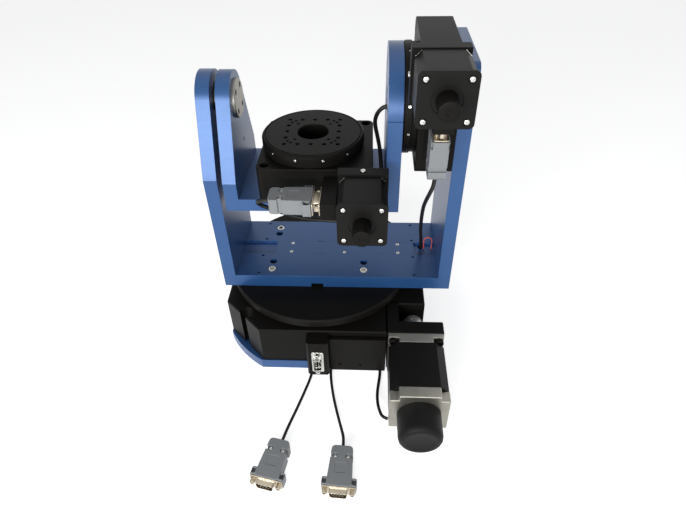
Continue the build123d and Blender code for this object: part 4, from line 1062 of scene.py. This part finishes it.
def floor_plug(side, end, heading):
    """Plug on the floor: hood, flange and shell, from its cable end and its heading."""
    turn = turn_about("Z", heading)
    place = shift(*end, HOOD_HALF_DEPTH) @ turn @ shift(HOOD_LENGTH, 0, 0)
    hood = hood_shell(side + "_hood", "base", place, [side + "_plug_hood"])
    fitting = place @ on_stage(0, 0, 0, BACK, UP)
    face = connector(
        side + "_plug_face", "base", fitting, gold, [side + "_plug_shell"], male=True
    )
    return hood + face


socket_x, _, socket_z = middle_of(*millimetres("base_connector"))
box_front = millimetres("connector_box")[0][Y]
socket_place = on_stage(socket_x, box_front, socket_z, UP, LEFT)
connector("base_socket", "base", socket_place, steel, ["base_connector"], male=True)
left_plug = floor_plug("left", (-26.3, -197.5), -102.5)
right_plug = floor_plug("right", (33.3, -202), -93.2)


# ---------------------------------------------------------------- leads


def length_of(cable):
    """Length of a lead's curve, read from the curve without its bevel."""
    bare = cable.copy()
    bare.data = cable.data.copy()
    bare.data.bevel_depth = 0
    mesh = bpy.data.meshes.new_from_object(bare)
    length = 0
    for edge in mesh.edges:
        start, end = (mesh.vertices[number].co for number in edge.vertices)
        length += (start - end).length
    bpy.data.meshes.remove(mesh)
    bpy.data.objects.remove(bare)
    return length


def lead(name, body, diameter, route, finish):
    """A lead along its given points, in metres, as one smooth curve."""
    curve = bpy.data.curves.new(name, "CURVE")
    curve.dimensions = "3D"
    curve.bevel_depth = diameter / 2
    curve.bevel_resolution = 5
    curve.resolution_u = 12
    curve.use_fill_caps = True
    line = curve.splines.new("NURBS")
    line.points.add(len(route) - 1)
    for point, position in zip(line.points, route):
        point.co = (*position, 1)
    line.order_u = 3
    line.use_endpoint_u = True
    cable = bpy.data.objects.new(name, curve)
    bpy.context.scene.collection.objects.link(cable)
    curve.materials.append(finish)
    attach(cable, body)
    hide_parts(name)
    length_of(cable)


left_route = [
    (-0.004, -0.095, 0.0035),
    (-0.004, -0.106, 0.0035),
    (-0.0064, -0.119, 0.0021),
    (-0.0114, -0.137, 0.0018),
    (-0.0164, -0.1555, 0.0024),
    (-0.0202, -0.171, 0.0052),
    (-0.0237, -0.1858, 0.0075),
    (-0.0263, -0.1975, 0.0075),
]
lead("left_lead", "base", 0.003, left_route, lead_black)
right_route = [
    (0.0155, -0.095, 0.0022),
    (0.0155, -0.106, 0.0022),
    (0.017, -0.121, 0.0019),
    (0.021, -0.142, 0.0018),
    (0.0262, -0.162, 0.0024),
    (0.0308, -0.179, 0.006),
    (0.0339, -0.191, 0.0075),
    (0.0333, -0.202, 0.0075),
]
lead("right_lead", "base", 0.003, right_route, lead_black)
motor_route = [
    (0.0695, -0.095, 0.0021),
    (0.0695, -0.107, 0.0021),
    (0.0683, -0.1175, 0.0023),
    (0.0667, -0.129, 0.003),
    (0.0661, -0.141, 0.0046),
    (0.067, -0.1525, 0.0072),
    (0.0688, -0.1615, 0.0103),
    (0.0702, -0.1668, 0.0124),
    (0.0732, -0.1702, 0.0138),
    (0.076, -0.1715, 0.0141),
]
lead("motor_lead", "base", 0.0033, motor_route, lead_black)
tilt_route = [
    (0.1105, -0.078, 0.2351),
    (0.1105, -0.078, 0.225),
    (0.1076, -0.0745, 0.213),
    (0.1062, -0.0655, 0.2),
    (0.106, -0.054, 0.1855),
    (0.1072, -0.038, 0.1645),
    (0.1089, -0.0225, 0.141),
    (0.1112, -0.007, 0.1195),
    (0.1135, 0.003, 0.105),
    (0.1145, 0.007, 0.094),
    (0.1145, 0.007, 0.082),
]
lead("tilt_lead", "yaw", 0.0037, tilt_route, lead_black)
top_route = [
    (-0.0339, -0.078, 0.2075),
    (-0.0405, -0.078, 0.2075),
    (-0.0465, -0.0735, 0.203),
    (-0.046, -0.0675, 0.196),
    (-0.0385, -0.063, 0.1885),
    (-0.025, -0.0595, 0.1805),
    (-0.009, -0.056, 0.1725),
    (0.009, -0.052, 0.1675),
    (0.028, -0.051, 0.1655),
    (0.046, -0.055, 0.1675),
    (0.0575, -0.0605, 0.175),
    (0.0645, -0.0605, 0.185),
    (0.0668, -0.0545, 0.1935),
    (0.0672, -0.038, 0.195),
    (0.067, -0.02, 0.194),
    (0.0666, -0.004, 0.198),
    (0.0656, 0.008, 0.209),
    (0.0626, 0.012, 0.223),
    (0.0598, 0.009, 0.2365),
    (0.0596, 0.004, 0.2465),
    (0.0624, 0.0008, 0.2555),
    (0.069, 0, 0.2615),
    (0.0775, 0, 0.2615),
]
lead("top_lead", "tilt", 0.004, top_route, lead_black)
wire_route = [
    (0.1176, 0.0046, 0.087),
    (0.1176, 0.0046, 0.0915),
    (0.1173, 0.0046, 0.0963),
    (0.1176, 0.0044, 0.1014),
    (0.1218, 0.004, 0.1039),
    (0.126, 0.0036, 0.1014),
    (0.1263, 0.0034, 0.0964),
    (0.126, 0.0034, 0.0916),
    (0.126, 0.0034, 0.087),
]
lead("red_wire", "yaw", 0.0012, wire_route, red_skin)


# ---------------------------------------------------------------- floor, light and camera

clear()
bpy.ops.mesh.primitive_plane_add(size=8, location=(0, 0, -0.0002))
floor = bpy.context.object
floor.name = "floor"
paper = Finish("paper_floor")
paper.set(
    Base_Color=(0.86, 0.87, 0.88, 1),
    Roughness=0.9,
    Specular_IOR_Level=0.0,
    Emission_Color=paper.blend(paper.background_rays(), (0, 0, 0, 1), (0.72, 0.72, 0.72, 1)),
    Emission_Strength=1.0,
)
floor.data.materials.append(paper.material)

world = bpy.data.worlds.new("studio")
world.use_nodes = True
bpy.context.scene.world = world
sky = Wiring(world.node_tree)
back = sky.tree.nodes["Background"]
back.inputs["Color"].default_value = (1, 1, 1, 1)
brightness = {"Factor": sky.background_rays(), "A": 0.16, "B": 1.0}
sky.feed(back.inputs["Strength"], sky.node("ShaderNodeMix", None, brightness))


def lamp(name, place, target, size, power):
    """A soft box at that place, aimed at the target."""
    light = bpy.data.lights.new(name, "AREA")
    light.shape = "RECTANGLE"
    light.size, light.size_y = size
    light.energy = power
    box = bpy.data.objects.new(name, light)
    box.location = place
    box.rotation_euler = (Vector(target) - Vector(place)).to_track_quat("-Z", "Y").to_euler()
    bpy.context.scene.collection.objects.link(box)


lamp("window", (-0.45, -1.16, 0.48), (-0.05, -0.02, 0.24), (0.6, 0.45), 11)
lamp("front_fill", (0.75, -1.2, 0.7), (0.02, 0, 0.2), (0.8, 0.8), 2.2)
lamp("ceiling", (0, 0.2, 1.6), (0, 0, 0.15), (1.2, 1.2), 1.2)
lamp("low_front", (0.06, -0.8, 0.3), (0.03, -0.2, 0.02), (0.35, 0.25), 1.8)

eye = Vector((54.681, -470.038, 476.422)) * MM
swing, dip, tip = -0.061454, 0.705398, -0.026170
flat = math.cos(dip)
ahead = Vector((math.sin(swing) * flat, math.cos(swing) * flat, -math.sin(dip)))
level_right = Vector((math.cos(swing), -math.sin(swing), 0))
level_up = level_right.cross(ahead)
right = math.cos(tip) * level_right + math.sin(tip) * level_up
up = math.cos(tip) * level_up - math.sin(tip) * level_right
view = bpy.data.cameras.new("camera")
view.sensor_width = 36
view.lens = 28.043
view.clip_start = 0.01
camera = bpy.data.objects.new("camera", view)
turn = Matrix((right, up, -ahead)).transposed().to_4x4()
camera.matrix_world = Matrix.Translation(eye) @ turn
bpy.context.scene.collection.objects.link(camera)
bpy.context.scene.camera = camera
bpy.context.scene.view_settings.view_transform = "Standard"
